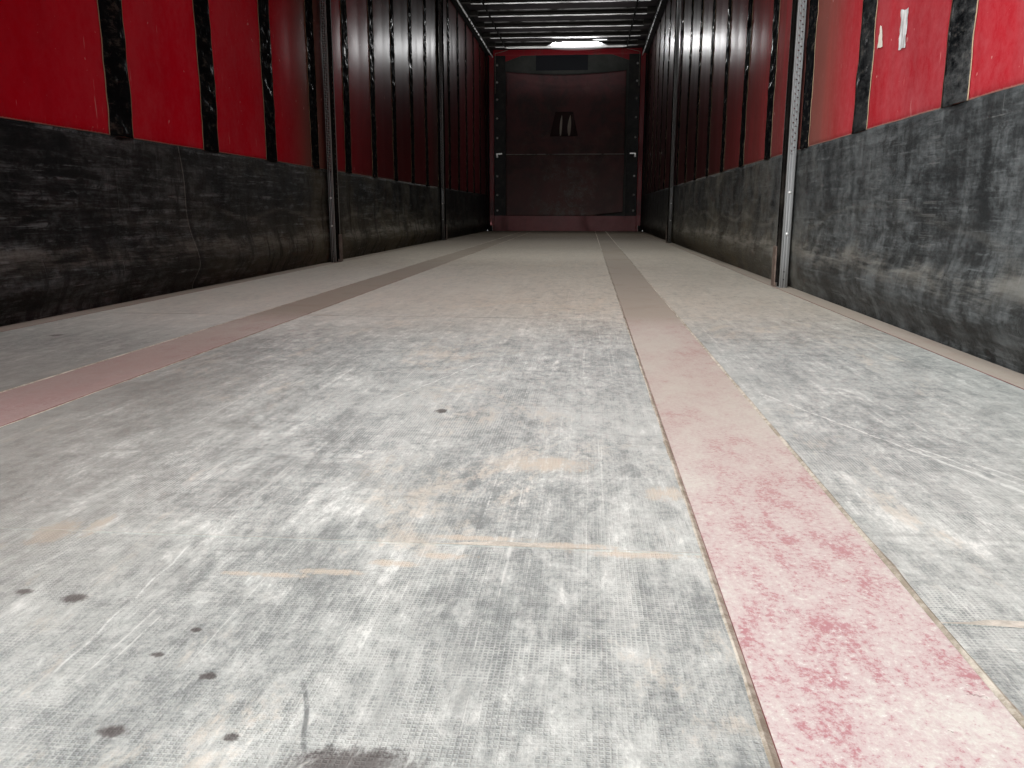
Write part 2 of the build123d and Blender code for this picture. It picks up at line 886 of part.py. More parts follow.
for name, shape in paired.items():
    nodes[name + "_right"] = shape
    nodes[name + "_left"] = left_of(shape)
for name, (side, distance) in sliding_posts.items():
    post = sliding_post(distance)
    nodes[name] = post if side > 0 else left_of(post)

os.makedirs("parts", exist_ok=True)
for name, shape in nodes.items():
    export_step(shape, f"parts/{name}.step")
print("nodes", len(nodes), "overall length", overall_length, "hinge axis", hinge_x, hinge_y)
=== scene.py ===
import json
import math

import bmesh
import bpy
from mathutils import Matrix, Vector, noise


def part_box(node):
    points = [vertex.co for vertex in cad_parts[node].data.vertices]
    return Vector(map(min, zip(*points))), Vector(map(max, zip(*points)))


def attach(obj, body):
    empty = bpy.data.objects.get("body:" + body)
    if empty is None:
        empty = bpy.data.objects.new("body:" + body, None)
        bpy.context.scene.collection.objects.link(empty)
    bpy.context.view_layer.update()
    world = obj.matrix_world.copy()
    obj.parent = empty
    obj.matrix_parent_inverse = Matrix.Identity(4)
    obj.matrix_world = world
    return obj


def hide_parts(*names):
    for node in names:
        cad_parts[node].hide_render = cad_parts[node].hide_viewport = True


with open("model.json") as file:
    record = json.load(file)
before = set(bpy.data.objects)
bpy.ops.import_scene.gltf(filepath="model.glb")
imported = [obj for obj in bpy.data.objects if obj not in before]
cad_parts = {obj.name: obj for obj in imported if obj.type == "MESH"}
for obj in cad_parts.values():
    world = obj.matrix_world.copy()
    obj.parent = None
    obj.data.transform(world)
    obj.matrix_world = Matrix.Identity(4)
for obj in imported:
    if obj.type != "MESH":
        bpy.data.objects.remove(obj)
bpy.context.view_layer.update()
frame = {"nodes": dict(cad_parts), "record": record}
nodes = frame["nodes"]

# places read from the frame, in metres
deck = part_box("floor_boards_centre")[1].z
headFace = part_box("headboard_kick_plate")[0].y
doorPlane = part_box("roof_sheet")[0].y
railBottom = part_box("cant_rail_right")[0].z
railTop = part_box("cant_rail_right")[1].z
low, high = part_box("curtain_right")
curtainFace, skirtTop = low.x, low.z
curtainEnds = (low.y, high.y)
low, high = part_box("curtain_skirt_right")
skirtHem, hangFace = low.z, high.x - 0.003
sides = ((-1, "left"), (1, "right"))
bandPitch = 0.7
bandPlaces = [headFace - bandPitch / 2 - bandPitch * n for n in range(19)]
postPlaces = {side: [] for side, _ in sides}
for name in nodes:
    if name.startswith("sliding_post"):
        low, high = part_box(name)
        postPlaces[1 if low.x > 0 else -1].append((name, (low.y + high.y) / 2))
postRows = {side: [y for _, y in entries] for side, entries in postPlaces.items()}
print("frame read")


class Wire:
    # one socket of a material, so that sums on it read as plain expressions
    def __init__(self, socket):
        self.socket = socket
        self.finest = 1.0  # how far a coordinate is drawn together against metres

    def node(self, kind, settings=None, values=None, out=0):
        tree = self.socket.id_data
        made = tree.nodes.new("ShaderNode" + kind)
        for key, value in (settings or {}).items():
            if key != "stops":
                setattr(made, key, value)
                continue
            stops = made.color_ramp.elements
            while len(stops) < len(value):
                stops.new(0.5)
            for stop, (place, colour) in zip(stops, value):
                stop.position = place
                stop.color = colour
        for key, value in (values or {}).items():
            if isinstance(value, Wire):
                tree.links.new(value.socket, made.inputs[key])
            else:
                made.inputs[key].default_value = value
        return Wire(made.outputs[out])

    def maths(self, operation, first, second=0.0, clamp=False):
        return self.node("Math", {"operation": operation, "use_clamp": clamp}, {0: first, 1: second})

    def __add__(self, other):
        return self.maths("ADD", self, other)

    def __radd__(self, other):
        return self.maths("ADD", other, self)

    def __sub__(self, other):
        return self.maths("SUBTRACT", self, other)

    def __rsub__(self, other):
        return self.maths("SUBTRACT", other, self)

    def __mul__(self, other):
        return self.maths("MULTIPLY", self, other)

    def __rmul__(self, other):
        return self.maths("MULTIPLY", other, self)

    def __truediv__(self, other):
        return self.maths("DIVIDE", self, other)

    def __abs__(self):
        return self.maths("ABSOLUTE", self)

    def sine(self):
        return self.maths("SINE", self)

    def most(self, other):
        return self.maths("MAXIMUM", self, other)

    def least(self, other):
        return self.maths("MINIMUM", self, other)

    def step(self, low, high, bottom=0.0, top=1.0):
        return self.node(
            "MapRange",
            {"interpolation_type": "SMOOTHSTEP"},
            {"Value": self, "From Min": low, "From Max": high, "To Min": bottom, "To Max": top},
        )

    def stretched(self, scale, turn=(0, 0, 0), shift=(0, 0, 0)):
        made = self.node("Mapping", {}, {"Vector": self, "Scale": scale, "Rotation": turn, "Location": shift})
        made.finest = self.finest * max(scale)
        return made

    def noise(self, scale, detail=4.0, rough=0.55, bent=0.0):
        # octaves too fine for the picture are left out, and the others keep their share
        kept = min(detail, max(1.0, math.floor(math.log2(1600.0 / (scale * self.finest)))))
        values = {"Vector": self, "Scale": scale, "Detail": kept, "Roughness": rough, "Distortion": bent}
        made = self.node("TexNoise", {}, values)
        if kept == detail:
            return made
        share = (1 - rough ** (kept + 1)) / (1 - rough ** (detail + 1))
        return (made - 0.5) * share + 0.5

    def axes(self):
        return [self.node("SeparateXYZ", {}, {0: self}, out) for out in range(3)]


def blendColours(mask, first, second):
    colours = [c if isinstance(c, Wire) else (*c, 1.0) for c in (first, second)]
    return mask.node("Mix", {"data_type": "RGBA"}, {0: mask, 6: colours[0], 7: colours[1]}, 2)


def layered(colour, *layers):
    # each layer is a mask and the colour that it brings
    for mask, over in layers:
        colour = blendColours(mask, colour, over)
    return colour


def newMaterial(name, recipe, **fixed):
    # recipe takes the object's coordinates and gives what varies: colour, rough, metal, height, alpha
    material = bpy.data.materials.new(name)
    material.use_nodes = True
    tree = material.node_tree
    shader = tree.nodes["Principled BSDF"]
    coordinates = tree.nodes.new("ShaderNodeTexCoord")
    place = Wire(coordinates.outputs["Object"])
    made = recipe(place)
    sockets = {
        "colour": "Base Color", "rough": "Roughness", "metal": "Metallic", "alpha": "Alpha", "coat": "Coat Weight",
    }
    for key, socket in sockets.items():
        if key in made:
            value = made[key]
            if isinstance(value, Wire):
                tree.links.new(value.socket, shader.inputs[socket])
            else:
                shader.inputs[socket].default_value = (*value, 1.0) if key == "colour" else value
    if "height" in made:
        bump = place.node("Bump", {}, {"Height": made["height"], "Distance": made["depth"], "Strength": 1.0})
        tree.links.new(bump.socket, shader.inputs["Normal"])
    for socket, value in fixed.items():
        shader.inputs[socket.replace("_", " ")].default_value = value
    return material


def facing(place):
    # the surface's own direction, so that dust lies on what looks up
    return place.node("NewGeometry", {}, {}, 1).axes()


def towardsLoad(place):
    # which faces of a side sheet look into the body
    return (facing(place)[0] * place.axes()[0]).step(0.15, -0.15)


def spots(place, table, wobble):
    # soft marks with ragged edges: x, y, half width across, half length along
    across, along, _ = place.axes()
    total = None
    for x, y, wide, long in table:
        apart = (across - x) * (across - x) / wide ** 2 + (along - y) * (along - y) / long ** 2
        mark = (apart + wobble).step(1.9, 0.3)
        total = mark if total is None else total.most(mark)
    return total


# floor: film-faced boards with a pressed wire pattern, worn and dusty
floorLook = {
    "film": (0.205, 0.228, 0.224), "dust": (0.560, 0.588, 0.556), "chalk": (0.79, 0.81, 0.765),
    "sand": (0.60, 0.525, 0.42),
    "brown": (0.42, 0.36, 0.27), "stain": (0.075, 0.062, 0.058), "shadeTone": (0.16, 0.145, 0.125),
    "worn": (0.105, 0.116, 0.116),
    "farShade": (0.066, 0.050, 0.033), "wirePitch": 0.0038,
}
cameraRow = headFace - 13.7  # where the camera stands along the body
firstJoint = cameraRow + 2.5  # beyond it the floor is dustier and browner
floorStains = [
    (0.249, cameraRow + 0.418, 0.034, 0.016), (0.147, cameraRow + 1.293, 0.009, 0.012),
    (0.089, cameraRow + 0.437, 0.009, 0.006), (-0.044, cameraRow + 0.608, 0.010, 0.007),
    (0.120, cameraRow + 0.503, 0.006, 0.004), (0.070, cameraRow + 0.527, 0.005, 0.003),
    (0.165, cameraRow + 0.438, 0.005, 0.004), (-0.095, cameraRow + 0.615, 0.008, 0.005),
    (0.082, cameraRow + 0.565, 0.004, 0.003), (-1.0, cameraRow + 2.02, 0.014, 0.02),
]
floorSand = [
    (-0.155, cameraRow + 0.745, 0.020, 0.030), (-0.12, cameraRow + 0.765, 0.010, 0.026),
    (-0.21, cameraRow + 0.70, 0.030, 0.016), (0.43, cameraRow + 0.742, 0.05, 0.008),
    (0.36, cameraRow + 0.757, 0.05, 0.007), (0.28, cameraRow + 0.768, 0.05, 0.006),
    (0.475, cameraRow + 0.92, 0.022, 0.022), (0.33, cameraRow + 1.02, 0.055, 0.03),
    (0.10, cameraRow + 0.667, 0.034, 0.005), (0.155, cameraRow + 0.678, 0.030, 0.006),
    (0.205, cameraRow + 0.701, 0.026, 0.007), (0.245, cameraRow + 0.722, 0.026, 0.007),
]
floorScores = [(0.203, cameraRow + 0.466, 0.042, -0.35, 0.0026)]
floorTracks = [
    (0.005, cameraRow + 0.61, 0.13, -0.05, 0.0016), (0.92, cameraRow + 0.95, 0.30, -0.42, 0.0028),
    (0.86, cameraRow + 1.05, 0.32, -0.40, 0.0024), (0.80, cameraRow + 1.20, 0.34, -0.38, 0.0026),
    (0.98, cameraRow + 0.86, 0.26, -0.44, 0.0022), (0.10, cameraRow + 1.55, 0.22, 0.30, 0.0022),
]


def scores(place, table):
    # thin scored lines: x, y, half length, lean, half width
    across, along, _ = place.axes()
    total = None
    for x, y, long, lean, wide in table:
        beside = abs(across - x - (along - y) * lean + (along * 90.0).sine() * 0.0012)
        mark = beside.step(wide, wide * 0.3) * abs(along - y).step(long, long * 0.75)
        total = mark if total is None else total.most(mark)
    return total


def leftFloorShade(across, along, cloud):
    # painted shade: the left-hand side of the floor is darker, most of all near the doors
    edge = across + (along - cameraRow) * 0.19 - 0.30 + (cloud - 0.5) * 0.5
    fades = (
        along.step(cameraRow + 0.42, cameraRow + 0.70) * (0.66 - along.step(cameraRow + 1.3, cameraRow + 2.5) * 0.58)
    )
    return edge.step(0.0, -0.50) * fades


def boardFinish(place):
    look = floorLook
    across, along, _ = place.axes()
    turns = 2 * math.pi / look["wirePitch"]
    wire = (across * turns).sine().most((along * turns).sine()).step(0.1, 0.95)
    drawn = place.stretched((1.0, 0.45, 1.0), (0, 0, 0.10))
    broad = drawn.noise(2.3, 9.0, 0.74, 0.6)
    cloud = drawn.noise(9.0, 9.0, 0.82, 0.5)
    fine = drawn.noise(42.0, 8.0, 0.88, 0.3)
    grit = place.noise(240.0, 4.0, 0.8)
    dragged = place.stretched((2.0, 46.0, 1.0), (0, 0, 0.12)).noise(1.7, 8.0, 0.80, 0.3)
    rubbed = place.stretched((46.0, 2.0, 1.0), (0, 0, -0.20)).noise(1.0, 8.0, 0.80, 0.3)
    amount = broad * 0.15 + cloud * 0.22 + fine * 0.30 + dragged * 0.09 + rubbed * 0.14 + grit * 0.10
    shown = place.noise(3.6, 6.0, 0.7, 0.5).step(0.47, 0.64)
    cover = (amount + (wire - 0.5) * (shown * 0.046 + 0.003)).step(0.425, 0.555)
    colour = blendColours(cover, look["film"], look["dust"])
    chalky = (cloud * 0.35 + fine * 0.4 + rubbed * 0.25).step(0.525, 0.60)
    sandy = (drawn.noise(3.1, 9.0, 0.80, 0.8) * 0.7 + fine * 0.3).step(0.53, 0.60) * 0.5
    sandy = sandy.most(spots(place, floorSand, fine * 9.0 - 4.2) * 0.75)
    dark = place.stretched((1.4, 7.0, 1.0), (0, 0, 0.12)).noise(1.3, 8.0, 0.78).step(0.55, 0.66)
    worn = (drawn.stretched((1.0, 2.0, 1.0), (0, 0, -0.3)).noise(4.4, 9.0, 0.80, 1.0) * 0.7 + fine * 0.3).step(
        0.545, 0.63,
    )
    scratch = place.stretched((150.0, 1.5, 1.0), (0, 0, 0.62)).noise(1.0, 2.0, 0.5).step(0.68, 0.715)
    scratch = scratch.most(place.stretched((1.2, 170.0, 1.0), (0, 0, -0.22)).noise(1.0, 2.0, 0.5).step(0.69, 0.725))
    scratch = scratch.most(place.stretched((170.0, 2.4, 1.0), (0, 0, -0.9)).noise(1.0, 2.0, 0.5).step(0.70, 0.735))
    specks = grit.step(0.655, 0.70) * fine.step(0.50, 0.62)
    walked = along.step(cameraRow + 0.75, cameraRow + 1.35) * along.step(firstJoint + 0.1, firstJoint - 0.5)
    brown = (
        along.step(firstJoint - 0.5, firstJoint + 6.0) * 0.42 + along.step(firstJoint - 0.05, firstJoint + 0.1) * 0.03
        + 0.05
    )
    settled = along.step(firstJoint - 0.7, firstJoint + 0.5) * 0.55
    beyond = along.step(firstJoint - 0.7, firstJoint) * along.step(cameraRow + 5.4, cameraRow + 3.8)
    tracks = scores(place, floorTracks) * fine.step(0.38, 0.54)
    scored = scores(place, floorScores)
    stain = spots(place, floorStains, fine * 7.0 - 3.4)
    colour = layered(
        colour,
        (chalky * 0.8, look["chalk"]),
        (sandy, look["sand"]),
        ((dark * 0.25).most(worn * 0.40) * (fine.step(0.36, 0.56) * 0.6 + 0.4), look["worn"]),
        (scratch * fine.step(0.42, 0.56) * 0.45, look["chalk"]),
        (specks * 0.7, look["worn"]),
        (walked * (broad.step(0.36, 0.60) * 0.14 + 0.15), look["film"]),
        (brown, look["brown"]),
        (settled * (fine.step(0.34, 0.54) * 0.8 + 0.35), look["sand"]),
        # painted shade on the left of the floor near the doors
        (leftFloorShade(across, along, cloud), look["shadeTone"]),
        # beyond the first joint the far left is paler, and the far right is darker as painted shade
        (beyond * across.step(0.45, -0.70) * 0.30, look["chalk"]),
        (beyond * across.step(0.35, 1.0) * 0.24, look["shadeTone"]),
        # painted shade: the floor darkens to near black towards the front
        (along.step(cameraRow + 4.4, cameraRow + 10.9) * 0.95, look["farShade"]),
        (tracks * 0.5, look["chalk"]),
        (scored * fine.step(0.36, 0.52) * 0.75, look["worn"]),
        (stain * 0.80, look["stain"]),
    )
    rough = 0.68 + cover * 0.2 - stain * 0.2
    height = wire * (1.15 - fine.step(0.42, 0.56)) * 0.35 + grit * 0.5 + cloud * 0.6 + fine * 0.8
    return {"colour": colour, "rough": rough, "height": height, "depth": 0.0006}


# painted steel of the frame: worn to pale dust where it is walked and driven on
paintLook = {
    "paint": (0.235, 0.010, 0.018), "deep": (0.13, 0.007, 0.012), "cream": (0.68, 0.665, 0.605),
    "pink": (0.60, 0.505, 0.488),
    "bare": (0.46, 0.215, 0.235), "sand": (0.36, 0.315, 0.26), "glintSpecks": (0.80, 0.79, 0.76),
    "front": (0.42, 0.012, 0.022), "kicked": (0.50, 0.150, 0.155),
    "stripShade": (0.165, 0.088, 0.086),
}


def paintFinish(place):
    look = paintLook
    across, along, up = place.axes()
    lookUp = facing(place)[2].step(0.6, 0.9)
    onDeck = lookUp * up.step(deck - 0.02, deck - 0.005) * (1 - up.step(deck + 0.004, deck + 0.02))
    drawn = place.stretched((1.0, 0.5, 1.0), (0, 0, 0.15))
    broad = drawn.noise(3.4, 9.0, 0.78, 0.3)
    cloud = drawn.noise(16.0, 9.0, 0.85, 0.2)
    grit = place.noise(190.0, 4.0, 0.85)
    patch = broad * 0.33 + cloud * 0.40 + grit * 0.27
    deckColour = blendColours(patch.step(0.42, 0.485), look["bare"], look["pink"])
    redder = across.step(-0.4, -0.55) * along.step(cameraRow + 2.6, cameraRow + 1.2)
    # painted glints: pale specks on the worn paint of the deck
    glintSpecks = grit.step(0.60, 0.67)
    sandAndShade = (
        along.step(firstJoint - 0.25, firstJoint + 0.25) * 0.45
        + along.step(firstJoint - 2.2, firstJoint - 0.9) * 0.64
    )
    sandAndShade = sandAndShade.most(cloud.step(0.54, 0.62) * along.step(firstJoint - 2.4, firstJoint) * 0.6)
    # on the left the strips also take the sand colour as painted shade
    sandAndShade = sandAndShade.most(leftFloorShade(across, along, cloud) * 0.80).most(abs(across).step(1.10, 1.16) * 0.90)
    deckColour = layered(
        deckColour,
        (patch.step(0.475, 0.56), look["cream"]),
        (redder * cloud.step(0.40, 0.56) * 0.65, look["bare"]),
        (glintSpecks * 0.7, look["glintSpecks"]),
        (grit.step(0.40, 0.34) * 0.5, look["bare"]),
        (sandAndShade, look["sand"]),
        # painted shade on the left of the strips
        (leftFloorShade(across, along, cloud) * 0.80, look["stripShade"]),
        (along.step(cameraRow + 3.6, cameraRow + 8.0) * 0.5, floorLook["brown"]),
        # painted shade: the strips darken to near black towards the front
        (along.step(cameraRow + 4.4, cameraRow + 10.9) * 0.95, floorLook["farShade"]),
    )
    plain = blendColours(place.noise(3.0, 5.0, 0.6).step(0.35, 0.7), look["paint"], look["deep"])
    kicked = up.step(deck + 0.27, deck + 0.23) * along.step(headFace - 0.2, headFace - 0.05)
    grime = place.stretched((1.0, 1.0, 0.35)).noise(5.0, 6.0, 0.7).step(0.50, 0.72) * 0.5
    chips = place.noise(38.0, 4.0, 0.7).step(0.68, 0.72)
    plain = layered(
        plain,
        (along.step(headFace - 1.2, headFace - 0.3) * up.step(deck + 0.4, deck + 0.6) * 0.8, look["front"]),
        (kicked * (broad * 0.8 + 0.1), look["kicked"]),
        (grime, (0.12, 0.085, 0.075)),
        (chips * 0.8, (0.09, 0.045, 0.03)),
    )
    colour = blendColours(onDeck, plain, deckColour)
    rough = 0.36 + grime * 0.6 + onDeck * 0.34
    height = cloud * 0.7 + grit * 0.4 - chips * 0.6
    return {"colour": colour, "rough": rough, "height": height, "depth": 0.0008}


def clothWeave(place, pitch):
    # plain weave showing faintly through the coating of a side sheet
    _, along, up = place.axes()
    first = (along * (2 * math.pi / pitch)).sine()
    second = (up * (2 * math.pi / pitch)).sine()
    return first * second


# side sheets: coated cloth, grimed near the posts, glossier towards the front
redLook = {
    "red": (0.43, 0.0008, 0.010), "deep": (0.29, 0.0006, 0.007), "grime": (0.215, 0.100, 0.076),
    "bright": (0.62, 0.004, 0.020),
    "chalk": (0.60, 0.36, 0.33), "film": (0.62, 0.34, 0.36), "shadeRed": (0.024, 0.0070, 0.0072),
}


def redClothFinish(place):
    look = redLook
    place.finest = 2.0
    across, along, up = place.axes()
    shade = place.stretched((1.0, 1.2, 0.5)).noise(1.5, 5.0, 0.6)
    colour = blendColours(shade.step(0.35, 0.68), look["red"], look["deep"])
    nearPosts = None
    for side in (-1, 1):
        onSide = (across * side).step(0.0, 0.2)
        for _, y in postPlaces[side]:
            close = (1 - abs(along - (y - 0.20)).step(0.06, 0.50)) * onSide
            nearPosts = close if nearPosts is None else nearPosts.most(close)
    streak = place.stretched((1.0, 14.0, 0.7)).noise(1.2, 7.0, 0.72)
    inner = towardsLoad(place)
    inside = along.step(cameraRow + 3.2, cameraRow + 6.8) * inner
    grime = (
        nearPosts * inner * (0.74 + across.step(0.0, -0.5) * 0.18) + streak.step(0.50, 0.80) * (inside * 0.25 + 0.06)
    )
    film = (place.stretched((1.0, 1.3, 0.8)).noise(1.6, 9.0, 0.76) * 0.7 + place.noise(40.0, 5.0, 0.8) * 0.3).step(
        0.38, 0.62,
    )
    # painted light: from about two metres on, the left sheet is painted brighter red, and paler through the film
    # below
    left = across.step(0.0, -0.5) * along.step(cameraRow + 1.9, cameraRow + 3.3) * inner
    # painted shade: the right sheet is darkened from about two and a half metres on
    rightSheetShade = along.step(cameraRow + 2.3, cameraRow + 4.2) * across.step(0.0, 0.5) * inner
    marks = place.stretched((1.0, 60.0, 5.0), (0.35, 0, 0)).noise(1.0, 3.0, 0.6).step(0.70, 0.74)
    marks = marks.most(place.noise(26.0, 2.0, 0.5).step(0.74, 0.77))
    marks = marks.most(place.noise(75.0, 3.0, 0.6).step(0.72, 0.76) * 0.8)
    frayed = (up + place.noise(120.0, 3.0, 0.7) * 0.006).step(skirtTop + 0.0085, skirtTop + 0.005)
    colour = layered(
        colour,
        (left * 0.62, look["bright"]),
        (film * (across.step(0.0, 0.5) * 0.12 + left * 0.07 + 0.015) + across.step(0.0, 0.5) * 0.05, look["film"]),
        (grime, look["grime"]),
        (rightSheetShade * (streak.step(0.36, 0.60) * 0.30 + 0.32), (0.130, 0.066, 0.055)),
        # painted shade: the sheets darken towards the front on their inner faces, the right one most near the
        # headboard
        (inside * 0.92, look["shadeRed"]),
        (along.step(headFace - 5.5, headFace - 2.0) * across.step(0.0, 0.5) * inner * 0.6, (0.006, 0.0030, 0.0030)),
        (marks * 0.45, look["chalk"]),
        (frayed * 0.75, (0.42, 0.25, 0.20)),
    )
    coat = (
        along.step(cameraRow + 3.9, cameraRow + 6.0) * inner * (across.step(-0.5, 0.5) * 0.12 + 0.42)
        + (1 - inner) * 0.25 + 0.015
    )
    turns = (along - headFace + 0.350) * (2 * math.pi / 0.700)
    nearBand = (turns + math.pi / 2).sine().step(0.62, 0.86)
    pucker = place.stretched((1.0, 2.2, 9.0), (0.4, 0, 0)).noise(1.8, 3.0, 0.6, 0.6) * nearBand
    height = (
        clothWeave(place, 0.0022) * 0.10 + place.stretched((1.0, 26.0, 0.5)).noise(1.5, 3.0, 0.55) * 0.5
        + place.noise(9.0, 3.0, 0.5) * 0.25 + pucker * 1.3
    )
    return {"colour": colour, "rough": 0.45 + grime * 0.3, "coat": coat, "height": height, "depth": 0.0022}


blackLook = {
    "black": (0.0040, 0.0045, 0.0052), "scuff": (0.168, 0.184, 0.188), "dust": (0.150, 0.124, 0.078),
    "scratch": (0.24, 0.24, 0.23),
    "foldHighlight": (0.25, 0.235, 0.20),
}


def blackClothFinish(place):
    look = blackLook
    place.finest = 2.0
    across, along, up = place.axes()
    right = across.step(-0.5, 0.5)
    above = up - deck
    broad = place.stretched((1.0, 0.8, 1.0)).noise(2.3, 8.0, 0.72, 0.5)
    fine = place.stretched((1.0, 0.8, 1.5)).noise(15.0, 9.0, 0.86, 0.3)
    smear = place.stretched((1.0, 3.5, 0.9), (0.25, 0, 0)).noise(2.6, 9.0, 0.80)
    rubbed = place.stretched((1.0, 1.0, 12.0), (0.05, 0, 0)).noise(2.6, 9.0, 0.82)
    cloudy = broad * 0.22 + fine * 0.30 + smear * (right * 0.14 + 0.14) + rubbed * (0.34 - right * 0.14)
    cloudy = (cloudy + right * 0.020).step(0.465, 0.635)
    colour = blendColours(cloudy * (0.80 - right * 0.04) + right * 0.10, look["black"], look["scuff"])
    brushed = place.stretched((1.0, 2.0, 50.0), (0.08, 0, 0)).noise(1.3, 8.0, 0.82)
    far = along.step(cameraRow + 2.6, cameraRow + 5.2)
    low = 1 - above.step(0.05, 0.42)
    dusty = (broad.step(0.40, 0.66) * 0.5 + low * 0.5 + smear.step(0.46, 0.66) * 0.3) * (far * 0.62 + 0.06)
    scratch = place.stretched((1.0, 3.0, 120.0), (0.12, 0, 0)).noise(1.0, 2.0, 0.5).step(0.685, 0.72)
    scratch = scratch.most(place.stretched((1.0, 130.0, 4.0), (0.5, 0, 0)).noise(1.0, 2.0, 0.5).step(0.70, 0.735))
    # painted highlights along the skirt's belly and along a crease above it
    foldHighlight = abs(above - 0.165 - (broad - 0.5) * 0.24).step(0.055, 0.0) * (rubbed * 0.6 + broad * 0.4).step(0.42, 0.58)
    crease = (
        abs(above - 0.29 - (place.stretched((1.0, 0.8, 1.0)).noise(1.6, 2.0, 0.4) - 0.5) * 0.34).step(0.022, 0.0)
        * rubbed.step(0.40, 0.56)
    )
    shaded = smear.step(0.49, 0.62) * across.step(0.5, -0.5)
    strip = (
        abs(along - (cameraRow + 2.248) + (0.55 - above) * 0.057).step(0.042, 0.034) * across.step(1.0, 1.2)
        * above.step(0.18, 0.22)
    )
    rungs = place.stretched((1.0, 0.7, 34.0)).noise(2.0, 7.0, 0.8)
    bend = cameraRow + 3.257 + (0.573 - above) * 0.118 + 0.006 * (up * 21.0).sine()
    seamLine = abs(along - bend).step(0.0040, 0.0010) * across.step(0.0, -0.2)
    # painted shadow beside the seam
    beside = abs(along - bend - 0.018).step(0.035, 0.0) * across.step(0.0, -0.2)
    colour = layered(
        colour,
        (brushed.step(0.51, 0.61) * fine.step(0.43, 0.56) * (0.66 - right * 0.28), look["scuff"]),
        (dusty * towardsLoad(place), look["dust"]),
        (scratch * broad.step(0.46, 0.60) * 0.5, look["scratch"]),
        (foldHighlight * (right * 0.06 + far * 0.34 + 0.36), look["foldHighlight"]),
        (crease * (far * 0.20 + 0.10), look["foldHighlight"]),
        # painted shade: the skirts darken towards the front
        (along.step(headFace - 7.0, headFace - 2.5) * 0.80, look["black"]),
        (shaded * 0.70, look["black"]),
        (strip * rungs.step(0.52, 0.60) * 0.20, look["scratch"]),
        (strip * rungs.step(0.46, 0.38) * 0.5, look["black"]),
        # painted shadow beside the seam
        (beside * 0.6, look["black"]),
        (seamLine * rubbed.step(0.36, 0.52) * 0.6, (0.24, 0.23, 0.20)),
    )
    rough = 0.42 + cloudy * 0.22 + dusty * 0.35
    height = (
        clothWeave(place, 0.0022) * 0.10 + place.noise(11.0, 4.0, 0.55) * 1.8 + brushed * 0.5 + seamLine * 0.4
        + rubbed * 0.5
    )
    return {"colour": colour, "rough": rough, "height": height, "depth": 0.0022}


def bandFinish(place):
    # black bands, glossier towards the front, with a pale welded edge that follows the piece's own map
    look = blackLook
    across, _, _ = place.node("UVMap", {"uv_map": "span"}).axes()
    side = abs(across - 0.5)
    rag = place.noise(60.0, 3.0, 0.6) * 0.02
    edge = (side + rag).step(0.480, 0.492)
    broad = place.noise(7.0, 6.0, 0.7)
    smudge = place.stretched((1.0, 1.2, 3.0), (0.3, 0, 0)).noise(12.0, 7.0, 0.75)
    colour = blendColours(smudge.step(0.53, 0.66) * 0.36, look["black"], (0.115, 0.10, 0.08))
    nearRight = place.axes()[0].step(0.0, 0.5) * place.axes()[1].step(cameraRow + 3.4, cameraRow + 2.2)
    colour = blendColours(
        (broad * 0.5 + smudge * 0.5).step(0.40, 0.60) * (nearRight * 0.42 + 0.03), colour, (0.13, 0.135, 0.135),
    )
    colour = blendColours(edge * 0.75, colour, (0.40, 0.29, 0.19))
    inside = place.axes()[1].step(cameraRow + 3.0, cameraRow + 5.5)
    glint = place.stretched((1.0, 1.5, 1.0), (0.3, 0, 0)).noise(17.0, 4.0, 0.6).step(0.50, 0.62)
    coat = (glint * 0.55 + 0.02) * (0.30 + inside * 0.25) * (1 - edge)
    height = place.stretched((1.0, 2.0, 1.0), (0.6, 0, 0)).noise(16.0, 2.0, 0.5, 0.6) + edge * 0.2
    return {
        "colour": colour, "rough": 0.5 + broad * 0.14 + edge * 0.3, "coat": coat, "height": height, "depth": 0.005,
    }


def webbingFinish(place):
    _, along, up = place.axes()
    ribs = (up * (2 * math.pi / 0.0035)).sine()
    colour = blendColours(place.noise(6.0, 5.0, 0.6).step(0.35, 0.7), (0.012, 0.012, 0.013), (0.05, 0.048, 0.045))
    rough = 0.75 + place.noise(40.0, 2.0) * 0.15
    return {"colour": colour, "rough": rough, "height": ribs * 0.5 + 0.5, "depth": 0.0006}


def roofClothFinish(place):
    outside = facing(place)[2].step(-0.1, 0.1)
    shade = place.stretched((1.0, 2.5, 1.0)).noise(1.4, 6.0, 0.6)
    inner = blendColours(shade.step(0.3, 0.7), (0.009, 0.008, 0.009), (0.022, 0.018, 0.018))
    outer = blendColours(shade.step(0.35, 0.7), (0.20, 0.20, 0.205), (0.115, 0.11, 0.105))
    rough = 0.5 + shade * 0.25
    height = place.stretched((0.6, 3.0, 1.0)).noise(4.0, 4.0, 0.55)
    return {"colour": blendColours(outside, inner, outer), "rough": rough, "height": height, "depth": 0.006}


def zincFinish(place):
    flakes = place.node("TexVoronoi", {"feature": "F1"}, {"Vector": place, "Scale": 55.0}, 1).axes()[0]
    dull = place.noise(5.0, 6.0, 0.65)
    colour = blendColours(flakes * 0.4 + dull * 0.3, (0.42, 0.44, 0.455), (0.22, 0.23, 0.24))
    grime = place.stretched((1.0, 1.0, 0.4)).noise(8.0, 6.0, 0.7).step(0.52, 0.72)
    colour = blendColours(grime * 0.75, colour, (0.085, 0.078, 0.07))
    rough = 0.34 + flakes * 0.12 + grime * 0.35
    return {
        "colour": colour, "rough": rough, "metal": 1 - grime * 0.7, "height": place.noise(60.0, 3.0), "depth": 0.0004,
    }


